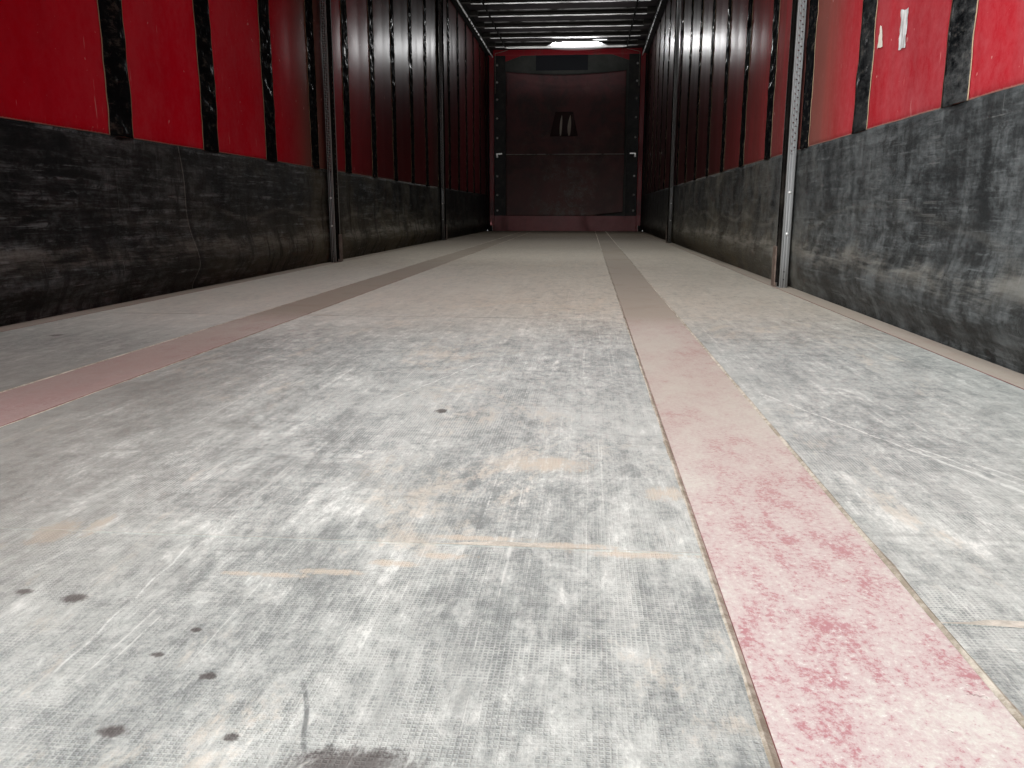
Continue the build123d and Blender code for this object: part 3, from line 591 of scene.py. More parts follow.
def postMetalFinish(place):
    # dull galvanised flanges, dark inner face, and a painted highlight on the fold between them; the left posts are
    # painted darker as shade
    ways = facing(place)
    across, _, up = place.axes()
    inner = abs(ways[0]).step(0.90, 0.97) * abs(across).step(1.222, 1.210)
    # painted highlight on the fold
    fold = abs(ways[0]).step(0.25, 0.45) * abs(ways[0]).step(0.95, 0.85)
    dull = place.noise(7.0, 7.0, 0.72)
    scuffed = place.stretched((1.0, 1.0, 0.25)).noise(30.0, 5.0, 0.75)
    colour = blendColours(dull * 0.5 + scuffed * 0.5, (0.30, 0.31, 0.315), (0.17, 0.172, 0.17))
    shaded = across.step(-1.10, -1.15)
    grime = place.stretched((1.0, 1.0, 0.4)).noise(8.0, 6.0, 0.7).step(0.52, 0.72) * 0.6
    grime = grime.most(up.step(deck + 0.12, deck + 0.02) * 0.6)
    colour = layered(
        colour,
        (grime * 0.75, (0.075, 0.068, 0.058)),
        (shaded * 0.86, (0.022, 0.021, 0.020)),
        (fold * (0.25 + shaded * 0.45), (0.52, 0.53, 0.53)),
        (inner, (0.010, 0.0095, 0.009)),
    )
    return {"colour": colour, "rough": 0.62, "metal": (1 - inner) * 0.12, "height": scuffed, "depth": 0.0004}


def darkRailFinish(place):
    # roof rails: painted near black inside the body as shade, bare metal outside; their lower inner lip bright in
    # dashes
    across, along, up = place.axes()
    lip = abs(across).step(1.186, 1.176) * up.step(railBottom + 0.022, railBottom + 0.014)
    worn = place.stretched((1.0, 9.0, 1.0)).noise(1.0, 3.0, 0.6).step(0.44, 0.50)
    outside = abs(across).step(1.258, 1.262)
    broad = place.noise(5.0, 5.0, 0.65)
    colour = blendColours(broad, (0.012, 0.0115, 0.011), (0.028, 0.027, 0.025))
    colour = blendColours(lip * worn, colour, (0.88, 0.88, 0.87))
    colour = blendColours(outside, colour, (0.50, 0.51, 0.52))
    return {"colour": colour, "rough": 0.55 + broad * 0.2, "metal": outside * 0.8, "height": broad, "depth": 0.0004}


def railMetalFinish(place):
    drawn = place.stretched((60.0, 1.2, 60.0)).noise(3.0, 4.0, 0.6)
    dull = place.noise(3.0, 5.0, 0.6)
    colour = blendColours(drawn * 0.5 + dull * 0.3, (0.62, 0.63, 0.64), (0.38, 0.38, 0.385))
    grime = dull.step(0.48, 0.72)
    colour = blendColours(grime * 0.5, colour, (0.10, 0.09, 0.085))
    return {
        "colour": colour, "rough": 0.26 + drawn * 0.14 + grime * 0.2, "metal": 1 - grime * 0.5, "height": drawn,
        "depth": 0.0003,
    }


def bowFinish(place):
    # roof bows: painted dark, with painted light on the undersides and upper edges between the ends
    across, _, up = place.axes()
    drawn = place.stretched((1.4, 60.0, 60.0)).noise(3.0, 4.0, 0.6)
    dull = place.stretched((0.8, 5.0, 5.0)).noise(4.0, 7.0, 0.75)
    rubbed = facing(place)[2].step(-0.55, -0.85) * up.step(railTop - 0.058, railTop - 0.066)
    rubbed = rubbed.most(up.step(railTop - 0.016, railTop - 0.011) * 0.6)
    rubbed = rubbed * dull.step(0.62, 0.44) * abs(across).step(1.062, 1.055)
    colour = blendColours(drawn, (0.030, 0.028, 0.026), (0.060, 0.056, 0.050))
    # painted light on the undersides and upper edges
    colour = blendColours(rubbed, colour, (0.90, 0.90, 0.88))
    return {"colour": colour, "rough": 0.5 + dull * 0.2, "metal": 0.1, "height": drawn, "depth": 0.0004}


def roofBarFinish(place):
    drawn = place.noise(90.0, 4.0, 0.6)
    # painted light: the crossing near the front is painted bright, the rest near black as shade
    front = place.axes()[1].step(headFace - 0.70, headFace - 0.64)
    colour = blendColours(front, (0.012, 0.0115, 0.011), (0.95, 0.95, 0.93))
    return {"colour": colour, "rough": 0.6 + drawn * 0.12, "height": drawn, "depth": 0.0003}


def blackPaintFinish(place):
    broad = place.noise(6.0, 6.0, 0.68)
    chips = place.noise(45.0, 4.0, 0.7).step(0.66, 0.72)
    colour = blendColours(broad.step(0.4, 0.75), (0.010, 0.010, 0.011), (0.05, 0.046, 0.042))
    colour = blendColours(chips * 0.5, colour, (0.14, 0.12, 0.11))
    return {"colour": colour, "rough": 0.42 + broad * 0.25, "height": broad - chips * 0.4, "depth": 0.0006}


def wallPaintFinish(place):
    streak = place.stretched((9.0, 1.0, 0.7)).noise(1.6, 6.0, 0.65)
    spray = place.noise(30.0, 5.0, 0.7)
    colour = blendColours(streak.step(0.4, 0.75) * 0.6, (0.55, 0.55, 0.54), (0.30, 0.285, 0.26))
    colour = blendColours(spray.step(0.62, 0.72) * 0.4, colour, (0.16, 0.15, 0.135))
    return {"colour": colour, "rough": 0.34 + streak * 0.3, "height": spray, "depth": 0.0004}


def doorFinish(place):
    grime = place.stretched((3.0, 3.0, 0.8)).noise(1.5, 6.0, 0.66)
    grain = place.noise(160.0, 3.0, 0.6)
    low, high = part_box("door_panel_right")
    middle, half = (low + high) / 2, (high - low) / 2
    _, along, up = place.axes()
    fromEdge = (half.y - abs(along - middle.y)).least(half.z - abs(up - middle.z))
    seal = fromEdge.step(0.026, 0.023)
    colour = blendColours(grime.step(0.42, 0.78) * 0.5, (0.335, 0.34, 0.335), (0.20, 0.19, 0.175))
    scuffed = place.stretched((1.0, 1.0, 14.0)).noise(3.0, 6.0, 0.8).step(0.50, 0.60) * up.step(1.2, 0.3)
    colour = blendColours(scuffed * 0.6, colour, (0.16, 0.15, 0.135))
    colour = blendColours(seal, colour, (0.018, 0.018, 0.018))
    return {
        "colour": colour, "rough": 0.38 + grime * 0.25 + seal * 0.3, "height": grain - seal * 3.0, "depth": 0.0004,
    }


def dullRailFinish(place):
    # the rail across the hung cloth: dirty, its upper edge rubbed
    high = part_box("headboard_mid_rail")[1].z
    worn = place.stretched((3.0, 1.0, 1.0)).noise(2.0, 6.0, 0.75)
    rubbed = place.axes()[2].step(high - 0.013, high - 0.008) * worn.step(0.36, 0.52)
    colour = blendColours(worn, (0.12, 0.098, 0.090), (0.22, 0.18, 0.165))
    colour = blendColours(rubbed * 0.9, colour, (0.80, 0.74, 0.70))
    return {"colour": colour, "rough": 0.7 + worn * 0.1, "height": worn, "depth": 0.0003}


def sealantFinish(place):
    broad = place.noise(11.0, 7.0, 0.78)
    fine = place.noise(90.0, 4.0, 0.8)
    colour = blendColours((broad * 0.6 + fine * 0.4).step(0.40, 0.60), (0.27, 0.235, 0.18), (0.55, 0.51, 0.43))
    return {"colour": colour, "rough": 0.8 + broad * 0.1, "height": broad + fine, "depth": 0.0012}


def fillerFinish(place):
    broad = place.noise(14.0, 8.0, 0.8)
    colour = blendColours(broad.step(0.38, 0.60), (0.40, 0.37, 0.31), (0.64, 0.60, 0.52))
    return {"colour": colour, "rough": 0.85, "height": place.noise(120.0, 4.0, 0.8), "depth": 0.0015}


def hungClothFinish(place):
    across, _, up = place.axes()
    above = up - deck
    broad = place.noise(2.2, 8.0, 0.74, 0.4)
    colour = blendColours(broad.step(0.40, 0.62), (0.225, 0.094, 0.100), (0.135, 0.086, 0.088))
    low = (above + (broad - 0.5) * 0.9).step(1.75, 0.65)
    middle = abs(across - 0.10 + (broad - 0.5) * 1.2).step(0.95, 0.0)
    dust = (place.noise(6.0, 9.0, 0.88, 0.3) + low * middle * 0.07).step(0.52, 0.66) * (low * middle * 0.9 + 0.20)
    specks = place.noise(55.0, 4.0, 0.8).step(0.60, 0.66) * (dust * 1.3 + low * middle * 0.25 + 0.05)
    hem = 2.47 - 0.20 * (1 - (across + 0.015) * (across + 0.015) / 0.9)
    arc = abs(above - hem).step(0.022, 0.004)
    uprights = place.stretched((14.0, 1.0, 0.4)).noise(1.0, 3.0, 0.6).step(0.56, 0.64)
    wedge = (above - 0.245 - (across - 0.30) * 0.10).step(0.012, -0.004) * across.step(0.35, 0.60)
    colour = layered(
        colour,
        (low * 0.30, (0.36, 0.245, 0.225)),
        (dust, (0.30, 0.255, 0.225)),
        (specks * 0.8, (0.62, 0.56, 0.52)),
        (arc * 0.32 + uprights * 0.14, (0.24, 0.12, 0.115)),
        (wedge * 0.8, (0.022, 0.024, 0.018)),
    )
    return {"colour": colour, "rough": 0.62 + broad * 0.2, "height": place.noise(26.0, 4.0), "depth": 0.002}


# plain finishes: two mottled colours, their noise, the blend's edges, roughness and what the noise adds to it
mottledLooks = {
    "vent": {
        "colours": ((0.006, 0.008, 0.014), (0.014, 0.017, 0.026)), "noise": (9.0, 5.0, 0.6), "rough": (0.42, 0.2),
        "depth": 0.0005,
    },
    "rubber": {
        "colours": ((0.014, 0.014, 0.014), (0.045, 0.043, 0.04)), "noise": (14.0, 5.0, 0.65), "rough": (0.7, 0.2),
        "depth": 0.001,
    },
    "foot": {
        "colours": ((0.10, 0.070, 0.055), (0.20, 0.155, 0.13)), "noise": (20.0, 5.0, 0.7), "edges": (0.35, 0.65),
        "rough": (0.6, 0.2), "depth": 0.0008,
    },
    "bolt": {
        "colours": ((0.97, 0.97, 0.96), (0.82, 0.82, 0.81)), "noise": (60.0, 4.0, 0.65), "rough": (0.28, 0.1),
        "metal": 0.85, "depth": 0.0003,
    },
    "tag": {
        "colours": ((0.82, 0.76, 0.68), (0.60, 0.55, 0.47)), "noise": (18.0, 4.0, 0.6), "rough": (0.7, 0.1),
        "depth": 0.0006,
    },
    "tape": {
        "colours": ((0.72, 0.72, 0.72), (0.36, 0.35, 0.34)), "noise": (2.0, 5.0, 0.7), "stretch": (1.0, 60.0, 8.0),
        "edges": (0.4, 0.6), "rough": (0.4, 0.2), "depth": 0.002,
    },
    "flap": {
        "colours": ((0.040, 0.018, 0.019), (0.075, 0.030, 0.031)), "noise": (9.0, 5.0, 0.6), "rough": (0.7, 0.1),
        "depth": 0.001,
    },
    "lining": {
        "colours": ((0.060, 0.066, 0.060), (0.105, 0.108, 0.100)), "noise": (2.5, 6.0, 0.66), "edges": (0.35, 0.7),
        "grain": (40.0, 4.0), "rough": (0.6, 0.2), "depth": 0.0004,
    },
    "postRail": {
        "colours": ((0.0075, 0.007, 0.0065), (0.030, 0.027, 0.023)), "noise": (9.0, 6.0, 0.7),
        "edges": (0.45, 0.75), "rough": (0.85, 0.1), "depth": 0.0004,
    },
}


def mottledFinish(name):
    look = mottledLooks[name]

    def recipe(place):
        drawn = place.stretched(look["stretch"]) if "stretch" in look else place
        broad = drawn.noise(*look["noise"])
        mask = broad.step(*look["edges"]) if "edges" in look else broad
        made = {
            "colour": blendColours(mask, *look["colours"]), "metal": look.get("metal", 0.0), "depth": look["depth"],
        }
        made["rough"] = look["rough"][0] + broad * look["rough"][1]
        made["height"] = place.noise(*look["grain"]) if "grain" in look else broad
        return made

    return recipe


materials = {
    "paint": newMaterial("frame_paint", paintFinish),
    "board": newMaterial("floor_film", boardFinish),
    "redCloth": newMaterial("red_cloth", redClothFinish, Specular_IOR_Level=0.0, Coat_Roughness=0.31),
    "blackCloth": newMaterial("black_cloth", blackClothFinish, Specular_IOR_Level=0.06),
    "band": newMaterial("band_cloth", bandFinish, Specular_IOR_Level=0.0, Coat_Roughness=0.24),
    "webbing": newMaterial("webbing", webbingFinish),
    "roofCloth": newMaterial("roof_cloth", roofClothFinish),
    "zinc": newMaterial("zinc", zincFinish),
    "bow": newMaterial("bow_metal", bowFinish, Specular_IOR_Level=0.1),
    "railMetal": newMaterial("rail_metal", railMetalFinish),
    "roofBar": newMaterial("roof_bar_metal", roofBarFinish, Specular_IOR_Level=0.0),
    "postMetal": newMaterial("post_metal", postMetalFinish, Specular_IOR_Level=0.0),
    "postRail": newMaterial("post_rail", mottledFinish("postRail"), Specular_IOR_Level=0.0),
    "dullRail": newMaterial("dull_rail", dullRailFinish),
    "darkRail": newMaterial("roof_rail", darkRailFinish, Specular_IOR_Level=0.1),
    "blackPaint": newMaterial("black_paint", blackPaintFinish),
    "wallPaint": newMaterial("wall_paint", wallPaintFinish),
    "lining": newMaterial("lining_board", mottledFinish("lining")),
    "vent": newMaterial("vent_paint", mottledFinish("vent")),
    "door": newMaterial("door_board", doorFinish),
    "rubber": newMaterial("rubber", mottledFinish("rubber")),
    "hungCloth": newMaterial("hung_cloth", hungClothFinish),
    "foot": newMaterial("post_foot", mottledFinish("foot")),
    "bolt": newMaterial("bolt_head", mottledFinish("bolt")),
    "sealant": newMaterial("sealant", sealantFinish),
    "filler": newMaterial("filler", fillerFinish),
    "tag": newMaterial("cloth_tag", mottledFinish("tag")),
    "tape": newMaterial("tape", mottledFinish("tape")),
    "flap": newMaterial("cloth_flap", mottledFinish("flap")),
}
slotFinish = {
    "frame_paint": "paint", "black_paint": "blackPaint", "wall_paint": "wallPaint", "floor_wood": "board",
    "lining_wood": "lining", "vent_paint": "vent", "zinc": "zinc", "rail_metal": "railMetal",
    "red_cloth": "redCloth", "black_cloth": "blackCloth", "roof_cloth": "roofCloth",
    "dark_red_cloth": "hungCloth", "door_board": "door", "bumper_rubber": "rubber",
}
for part in frame["record"]["subparts"]:
    node = nodes[part["node"]]
    node.data.materials.clear()
    node.data.materials.append(materials[slotFinish[part["material_slot"]]])
nodes["roof_bar"].data.materials[0] = materials["roofBar"]
nodes["roof_bows"].data.materials[0] = materials["bow"]
nodes["headboard_mid_rail"].data.materials[0] = materials["dullRail"]
for _, label in sides:
    nodes["curtain_poles_" + label].data.materials[0] = materials["darkRail"]
    nodes["cant_rail_" + label].data.materials[0] = materials["darkRail"]
print("materials made")


def clipped(value):
    return min(1.0, max(0.0, value))


def eased(value):
    value = clipped(value)
    return value * value * (3 - 2 * value)


def ripple(*place):
    return noise.noise(Vector(place))


def nearest(value, places):
    return min(abs(value - place) for place in places)


def smoothAll(mesh):
    bmesh.ops.recalc_face_normals(mesh, faces=mesh.faces)
    for face in mesh.faces:
        face.smooth = True


def addPiece(name, mesh, finish, body="load_body", thick=0.0):
    data = bpy.data.meshes.new(name)
    mesh.to_mesh(data)
    mesh.free()
    piece = bpy.data.objects.new(name, data)
    bpy.context.scene.collection.objects.link(piece)
    data.materials.append(materials[finish])
    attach(piece, body)
    if thick:
        wall = piece.modifiers.new("thickness", "SOLIDIFY")
        wall.thickness, wall.offset = thick, 0.0
    return piece


def addGrid(mesh, columns, rows):
    return bmesh.ops.create_grid(mesh, x_segments=columns, y_segments=rows, size=0.5)["verts"]


def gridSheet(low, high, counts):
    # an upright sheet of squares in the plane of y and z
    mesh = bmesh.new()
    for vertex in addGrid(mesh, *counts):
        across, up = vertex.co.x + 0.5, vertex.co.y + 0.5
        vertex.co = (0.0, low[0] + (high[0] - low[0]) * across, low[1] + (high[1] - low[1]) * up)
    return mesh


def addBlock(mesh, low, high, edge=0.0, segments=2):
    size = [b - a for a, b in zip(low, high)]
    middle = [(a + b) / 2 for a, b in zip(low, high)]
    placed = Matrix.Translation(middle) @ Matrix.Diagonal((*size, 1.0))
    made = bmesh.ops.create_cube(mesh, size=1.0, matrix=placed)
    if edge:
        edges = list({e for v in made["verts"] for e in v.link_edges})
        bmesh.ops.bevel(mesh, geom=edges, offset=edge, segments=segments, profile=0.5, affect="EDGES", material=-1)


def addSideBlock(mesh, side, xs, ys, zs, edge=0.0, segments=2):
    # a block given by its distances out from the middle of the body
    low, high = sorted(side * x for x in xs)
    addBlock(mesh, (low, ys[0], zs[0]), (high, ys[1], zs[1]), edge, segments)


def addRod(mesh, start, end, radius, segments=16):
    start, end = Vector(start), Vector(end)
    turn = (end - start).to_track_quat("Z", "Y").to_matrix().to_4x4()
    bmesh.ops.create_cone(
        mesh, cap_ends=True, segments=segments, radius1=radius, radius2=radius,
        depth=(end - start).length, matrix=Matrix.Translation((start + end) / 2) @ turn,
    )


def addDome(mesh, centre, out, radius, proud, segments=12):
    # a round head looking along out
    made = bmesh.ops.create_uvsphere(mesh, u_segments=segments, v_segments=8, radius=radius)["verts"]
    turn = Vector(out).to_track_quat("Z", "Y").to_matrix()
    for vertex in made:
        vertex.co.z = max(-0.001, vertex.co.z) * proud / radius
        vertex.co = Vector(centre) + turn @ vertex.co


# how a side sheet lies between its bands and posts
clothShape = {
    "swell": 0.004, "lazy": 0.005, "pucker": 0.0026, "puckerPlace": 0.075, "puckerReach": 0.06,
    "calm": 0.06, "calmReach": 0.2, "topReach": 0.25,
}


def clothSide(side, y, z):
    # how far a side sheet stands in from its track at a place along and up
    shape = clothShape
    toBand = nearest(y, bandPlaces)
    calm = clipped((nearest(y, postRows[side]) - shape["calm"]) / shape["calmReach"])
    held = min(1.0, (railBottom - z) / shape["topReach"])
    swell = shape["swell"] * math.sin(math.pi * min(toBand / (bandPitch / 2), 1.0)) * held
    lazy = shape["lazy"] * ripple(y * 1.7, z * 0.9, side * 5.0)
    besideBand = math.exp(-((toBand - shape["puckerPlace"]) / shape["puckerReach"]) ** 2)
    return (swell + lazy) * calm + shape["pucker"] * ripple(y * 10.0, z * 13.0, side * 9.0) * besideBand


# side sheets and their black skirts
sheetShape = {
    "step": 0.032, "skirtRows": 36, "red": 0.0012, "black": 0.0014, "top": 0.015, "lap": 0.012,
    "belly": 0.034, "bellyHeight": 0.105, "bellyRise": 0.095, "wave": 0.0045, "slide": 0.060,
}


def skirtFace(side, y, z):
    # the skirt's profile: straight, bellied in over the floor's edge, then outside the rave
    shape = sheetShape
    above = z - deck
    free = clipped((nearest(y, postRows[side]) - 0.08) / 0.3)
    belly = shape["belly"] * free * (0.8 + 0.5 * ripple(y * 1.1, side * 3.0, 0.0))
    rise = (above - shape["bellyHeight"]) / shape["bellyRise"]
    rise = rise if rise > 0 else rise * 2.0
    inward = belly * math.exp(-rise * rise)
    slide = eased((shape["slide"] - above) / shape["slide"])
    face = curtainFace - clothSide(side, y, z) * (1 - slide) * min(1.0, max(0.0, above / 0.2))
    wave = shape["wave"] * ripple(y * 3.1, z * 2.2, side * 2.0) * (1 - slide) * free * min(1.0, (skirtTop - z) / 0.15)
    return (face - inward - wave) * (1 - slide) + hangFace * slide


for side, label in sides:
    low, high = (curtainEnds[0], skirtTop - sheetShape["lap"]), (curtainEnds[1], railBottom + sheetShape["top"])
    counts = [int((b - a) / sheetShape["step"]) for a, b in zip(low, high)]
    mesh = gridSheet(low, high, counts)
    for vertex in mesh.verts:
        _, y, z = vertex.co
        lapped = 0.001 if z > skirtTop - 0.002 else 0.003
        vertex.co.x = side * (curtainFace + lapped - clothSide(side, y, z))
    smoothAll(mesh)
    curtain = addPiece("side_sheet_" + label, mesh, "redCloth", thick=sheetShape["red"])
    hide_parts("curtain_" + label)

    low, high = (curtainEnds[0], skirtHem), (curtainEnds[1], skirtTop)
    mesh = gridSheet(low, high, (counts[0], sheetShape["skirtRows"]))
    for vertex in mesh.verts:
        _, y, z = vertex.co
        vertex.co.x = side * skirtFace(side, y, z)
    smoothAll(mesh)
    skirt = addPiece("skirt_" + label, mesh, "blackCloth", thick=sheetShape["black"])
    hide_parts("curtain_skirt_" + label)
print("side sheets hung")


# two stuck patches on the right-hand sheet: width, height, place along and up, share left of it, finish
patchShape = {"long": (0.046, 0.104, -4.384, 1.035, 1.0, "tape"), "torn": (0.044, 0.060, -4.202, 1.05, 0.72, "tag")}
for name, (wide, tall, y, z, share, finish) in patchShape.items():
    mesh = gridSheet((y - wide / 2, z - tall / 2), (y + wide / 2, z + tall / 2), (8, 14))
    for vertex in mesh.verts:
        _, along, height = vertex.co
        ragged = 0.007 * ripple(along * 40, height * 60, 2.0)
        if name == "torn":
            along = y + (along - y) * (1.15 - 0.9 * (height - z + tall / 2) / tall)
        out = curtainFace - clothSide(1, along, height) - 0.0035 - abs(ragged) * 0.25
        vertex.co = (out, along + ragged, height + ragged)
    bmesh.ops.recalc_face_normals(mesh, faces=mesh.faces)
    patch = addPiece("patch_" + name, mesh, finish, thick=0.0004)
    wide * tall * share


# black bands on the inside of the side sheets
bandShape = {
    "width": 0.148, "columns": 9, "rowHeight": 0.0135, "proud": 0.0022, "fold": 0.085, "crumple": 0.010,
    "wander": 5.0, "bump": 0.008, "thick": 0.0012,
}


def crumpled(side, place, u, y, z):
    # how far a band stands in from its sheet, with uneven folds between its welded edges
    shape = bandShape
    wander = shape["wander"] * ripple(place * 3.0, z * 4.5, side)
    fold = math.sin((z + 0.5 * (u - 0.5) * shape["width"]) * 2 * math.pi / shape["fold"] + wander)
    depth = shape["crumple"] * (0.35 + 0.65 * abs(ripple(place * 5.0, z * 6.0, side * 7.0)) * 2)
    out = depth * (0.5 + 0.5 * fold) + shape["bump"] * ripple(y * 12.0, z * 21.0, side * 4.0)
    return abs(out * math.sin(math.pi * u))


for side, label in sides:
    mesh = bmesh.new()
    span = mesh.loops.layers.uv.new("span")
    bottom, top = skirtTop, railBottom - 0.004
    for place in bandPlaces:
        made = addGrid(mesh, bandShape["columns"], int((top - bottom) / bandShape["rowHeight"]))
        across = {vertex: vertex.co.x + 0.5 for vertex in made}
        for vertex in made:
            u, z = across[vertex], bottom + (top - bottom) * (vertex.co.y + 0.5)
            shift = 0.008 * ripple(place, z * 2.4, side) + 0.006 * ripple(place, z * 8.0, side + u * 3)
            y = place + (u - 0.5) * bandShape["width"] + shift
            out = curtainFace - bandShape["proud"] - clothSide(side, y, z) - crumpled(side, place, u, y, z)
            vertex.co = (side * out, y, z)
        for face in {f for vertex in made for f in vertex.link_faces}:
            for loop in face.loops:
                loop[span].uv = (across[loop.vert], loop.vert.co.z)
    smoothAll(mesh)
    bands = addPiece("inner_bands_" + label, mesh, "band", thick=bandShape["thick"])
    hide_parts("curtain_bands_" + label)
print("bands sewn on")


def addHoledPlate(mesh, corner, across, height, shape):
    # an upright plate with columns of small holes, every other column half a pitch higher
    corner, across = Vector(corner), Vector(across)
    rise = Vector((0, 0, 1))
    cell = across / shape["columns"]
    wide, tall = shape["hole"]
    for column in range(shape["columns"]):
        start = shape["from"] + shape["pitch"] / 2 * (column % 2)
        count = int((height - start - 0.01) / shape["pitch"])
        reach = count * shape["pitch"]
        made = addGrid(mesh, 1, count)
        for vertex in made:
            level = start + (vertex.co.y + 0.5) * reach
            vertex.co = corner + cell * (column + 0.5 + vertex.co.x) + rise * level
        faces = list({face for vertex in made for face in vertex.link_faces})
        bmesh.ops.inset_individual(mesh, faces=faces, thickness=0.001)
        for face in faces:
            face.material_index = 1
            middle = face.calc_center_median()
            for vertex in face.verts:
                apart = vertex.co - middle
                side = 1 if apart.dot(across) > 0 else -1
                level = 1 if apart.z > 0 else -1
                vertex.co = middle + across.normalized() * side * wide / 2 + rise * level * tall / 2
        inner = list({vertex for face in faces for vertex in face.verts})
        bmesh.ops.bevel(mesh, geom=inner, offset=wide * 0.3, segments=1, profile=0.5, affect="VERTICES", material=-1)
        holes = [face for face in mesh.faces if face.material_index == 1]
        bmesh.ops.delete(mesh, geom=holes, context="FACES")
        for low, high in ((0.0, start), (start + reach, height)):
            for vertex in addGrid(mesh, 1, 1):
                level = low + (vertex.co.y + 0.5) * (high - low)
                vertex.co = corner + cell * (column + 0.5 + vertex.co.x) + rise * level


def addFolded(mesh, side, points, low, high, corner=0.004):
    # a plate folded along a line of points, standing from low to high
    line = [mesh.verts.new((side * x, y, low)) for x, y in points]
    edges = [mesh.edges.new(pair) for pair in zip(line, line[1:])]
    raised = bmesh.ops.extrude_edge_only(mesh, edges=edges)["geom"]
    upper = [v for v in raised if isinstance(v, bmesh.types.BMVert)]
    bmesh.ops.translate(mesh, verts=upper, vec=(0, 0, high - low))
    folds = [e for v in line[1:-1] for e in v.link_edges if abs(e.verts[0].co.z - e.verts[1].co.z) > 0.01]
    if folds:
        bmesh.ops.bevel(mesh, geom=folds, offset=corner, segments=3, profile=0.5, affect="EDGES", material=-1)


# sliding posts: galvanised channels with holed flanges and a slotted dark rail towards the load
postShape = {
    "half": 0.056, "plate": 0.0025, "lip": 0.012, "foot": 0.173, "footHalf": 0.055, "railPlate": 0.003,
    "flange": {"columns": 2, "pitch": 0.028, "hole": (0.0056, 0.0056), "from": 0.55},
    "rail": {"columns": 1, "pitch": 0.030, "hole": (0.013, 0.015), "from": 0.36},
    "bolts": (0.227, 0.397), "smallHoles": (0.035, 0.068), "footBolts": (0.045, 0.125),
}


def addPost(side, name, y):
    shape = postShape
    low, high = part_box(name)
    face, back = (low.x + 0.014, high.x) if side > 0 else (-high.x + 0.014, -low.x)
    half, top, inner = shape["half"], high.z, face + 0.006
    mesh = bmesh.new()
    for end in (-1, 1):
        edge = y + end * half
        rear, front = back - 0.001, edge - end * 0.006
        addFolded(
            mesh, side, [(rear, edge - end * shape["lip"]), (rear, edge), (back - 0.004, edge)], deck, top, 0.001,
        )
        addFolded(mesh, side, [(inner, edge), (face, edge), (face, front)], deck, top, 0.0035)
        across = (side * (back - 0.004 - inner), 0, 0)
        addHoledPlate(mesh, (side * inner, edge, deck), across, top - deck, shape["flange"])
    addFolded(mesh, side, [(face, y - half + 0.006), (face, y + half - 0.006)], deck, top)
    smoothAll(mesh)
    post = addPiece(name + "_channel", mesh, "postMetal", thick=shape["plate"])
    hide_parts(name)

    mesh = bmesh.new()
    corner = (side * (face - 0.006), y - 0.012, deck + 0.02)
    addHoledPlate(mesh, corner, (0, 0.03, 0), top - deck - 0.05, shape["rail"])
    addPiece(name + "_slotted_rail", mesh, "postRail", thick=shape["railPlate"])

    mesh = bmesh.new()
    for edge in (-0.016, 0.018):
        addSideBlock(
            mesh, side, (face, face - 0.0075), (y + edge, y + edge + 0.004), (deck + 0.02, top - 0.03), 0.001,
        )
    addSideBlock(mesh, side, (face, face - 0.0022), (y - half + 0.008, y - 0.016), (deck + 0.004, top - 0.01), 0.0004)
    ends = (y - half + 0.010, y + half - 0.010)
    addSideBlock(mesh, side, (face + 0.004, back - 0.006), ends, (top - 0.045, top - 0.004), 0.003)
    addPiece(name + "_rail_sides", mesh, "postRail")

    mesh = bmesh.new()
    ends = (y - 0.0115, y + 0.0175)
    addSideBlock(mesh, side, (face - 0.0020, face - 0.0044), ends, (deck + 0.03, top - 0.04), 0.0004)
    addPiece(name + "_rail_ground", mesh, "sealant")

    mesh = bmesh.new()
    ends, levels = (y - 0.001, y + shape["footHalf"]), (deck + 0.001, deck + shape["foot"])
    addSideBlock(mesh, side, (face - 0.0135, face - 0.001), ends, levels, 0.003, 3)
    for height in shape["footBolts"]:
        addDome(mesh, (side * (face - 0.0135), y + 0.027, deck + height), (-side, 0, 0), 0.008, 0.0025, 10)
    addPiece(name + "_foot", mesh, "foot")

    mesh = bmesh.new()
    for height in shape["bolts"]:
        for end in (-1, 1):
            centre = (side * (face + 0.017), y + end * (half + 0.001), deck + height)
            addDome(mesh, centre, (0, end, 0), 0.0070, 0.0045)
    addPiece(name + "_bolts", mesh, "bolt")

    mesh = bmesh.new()
    for height in shape["smallHoles"]:
        across, up = side * (face + 0.014), deck + height
        addRod(mesh, (across, y - half - 0.0016, up), (across, y - half - 0.0010, up), 0.003, 10)
    addPiece(name + "_foot_holes", mesh, "rubber")


for side, entries in postPlaces.items():
    for name, y in entries:
        addPost(side, name, y)
print("sliding posts stand")


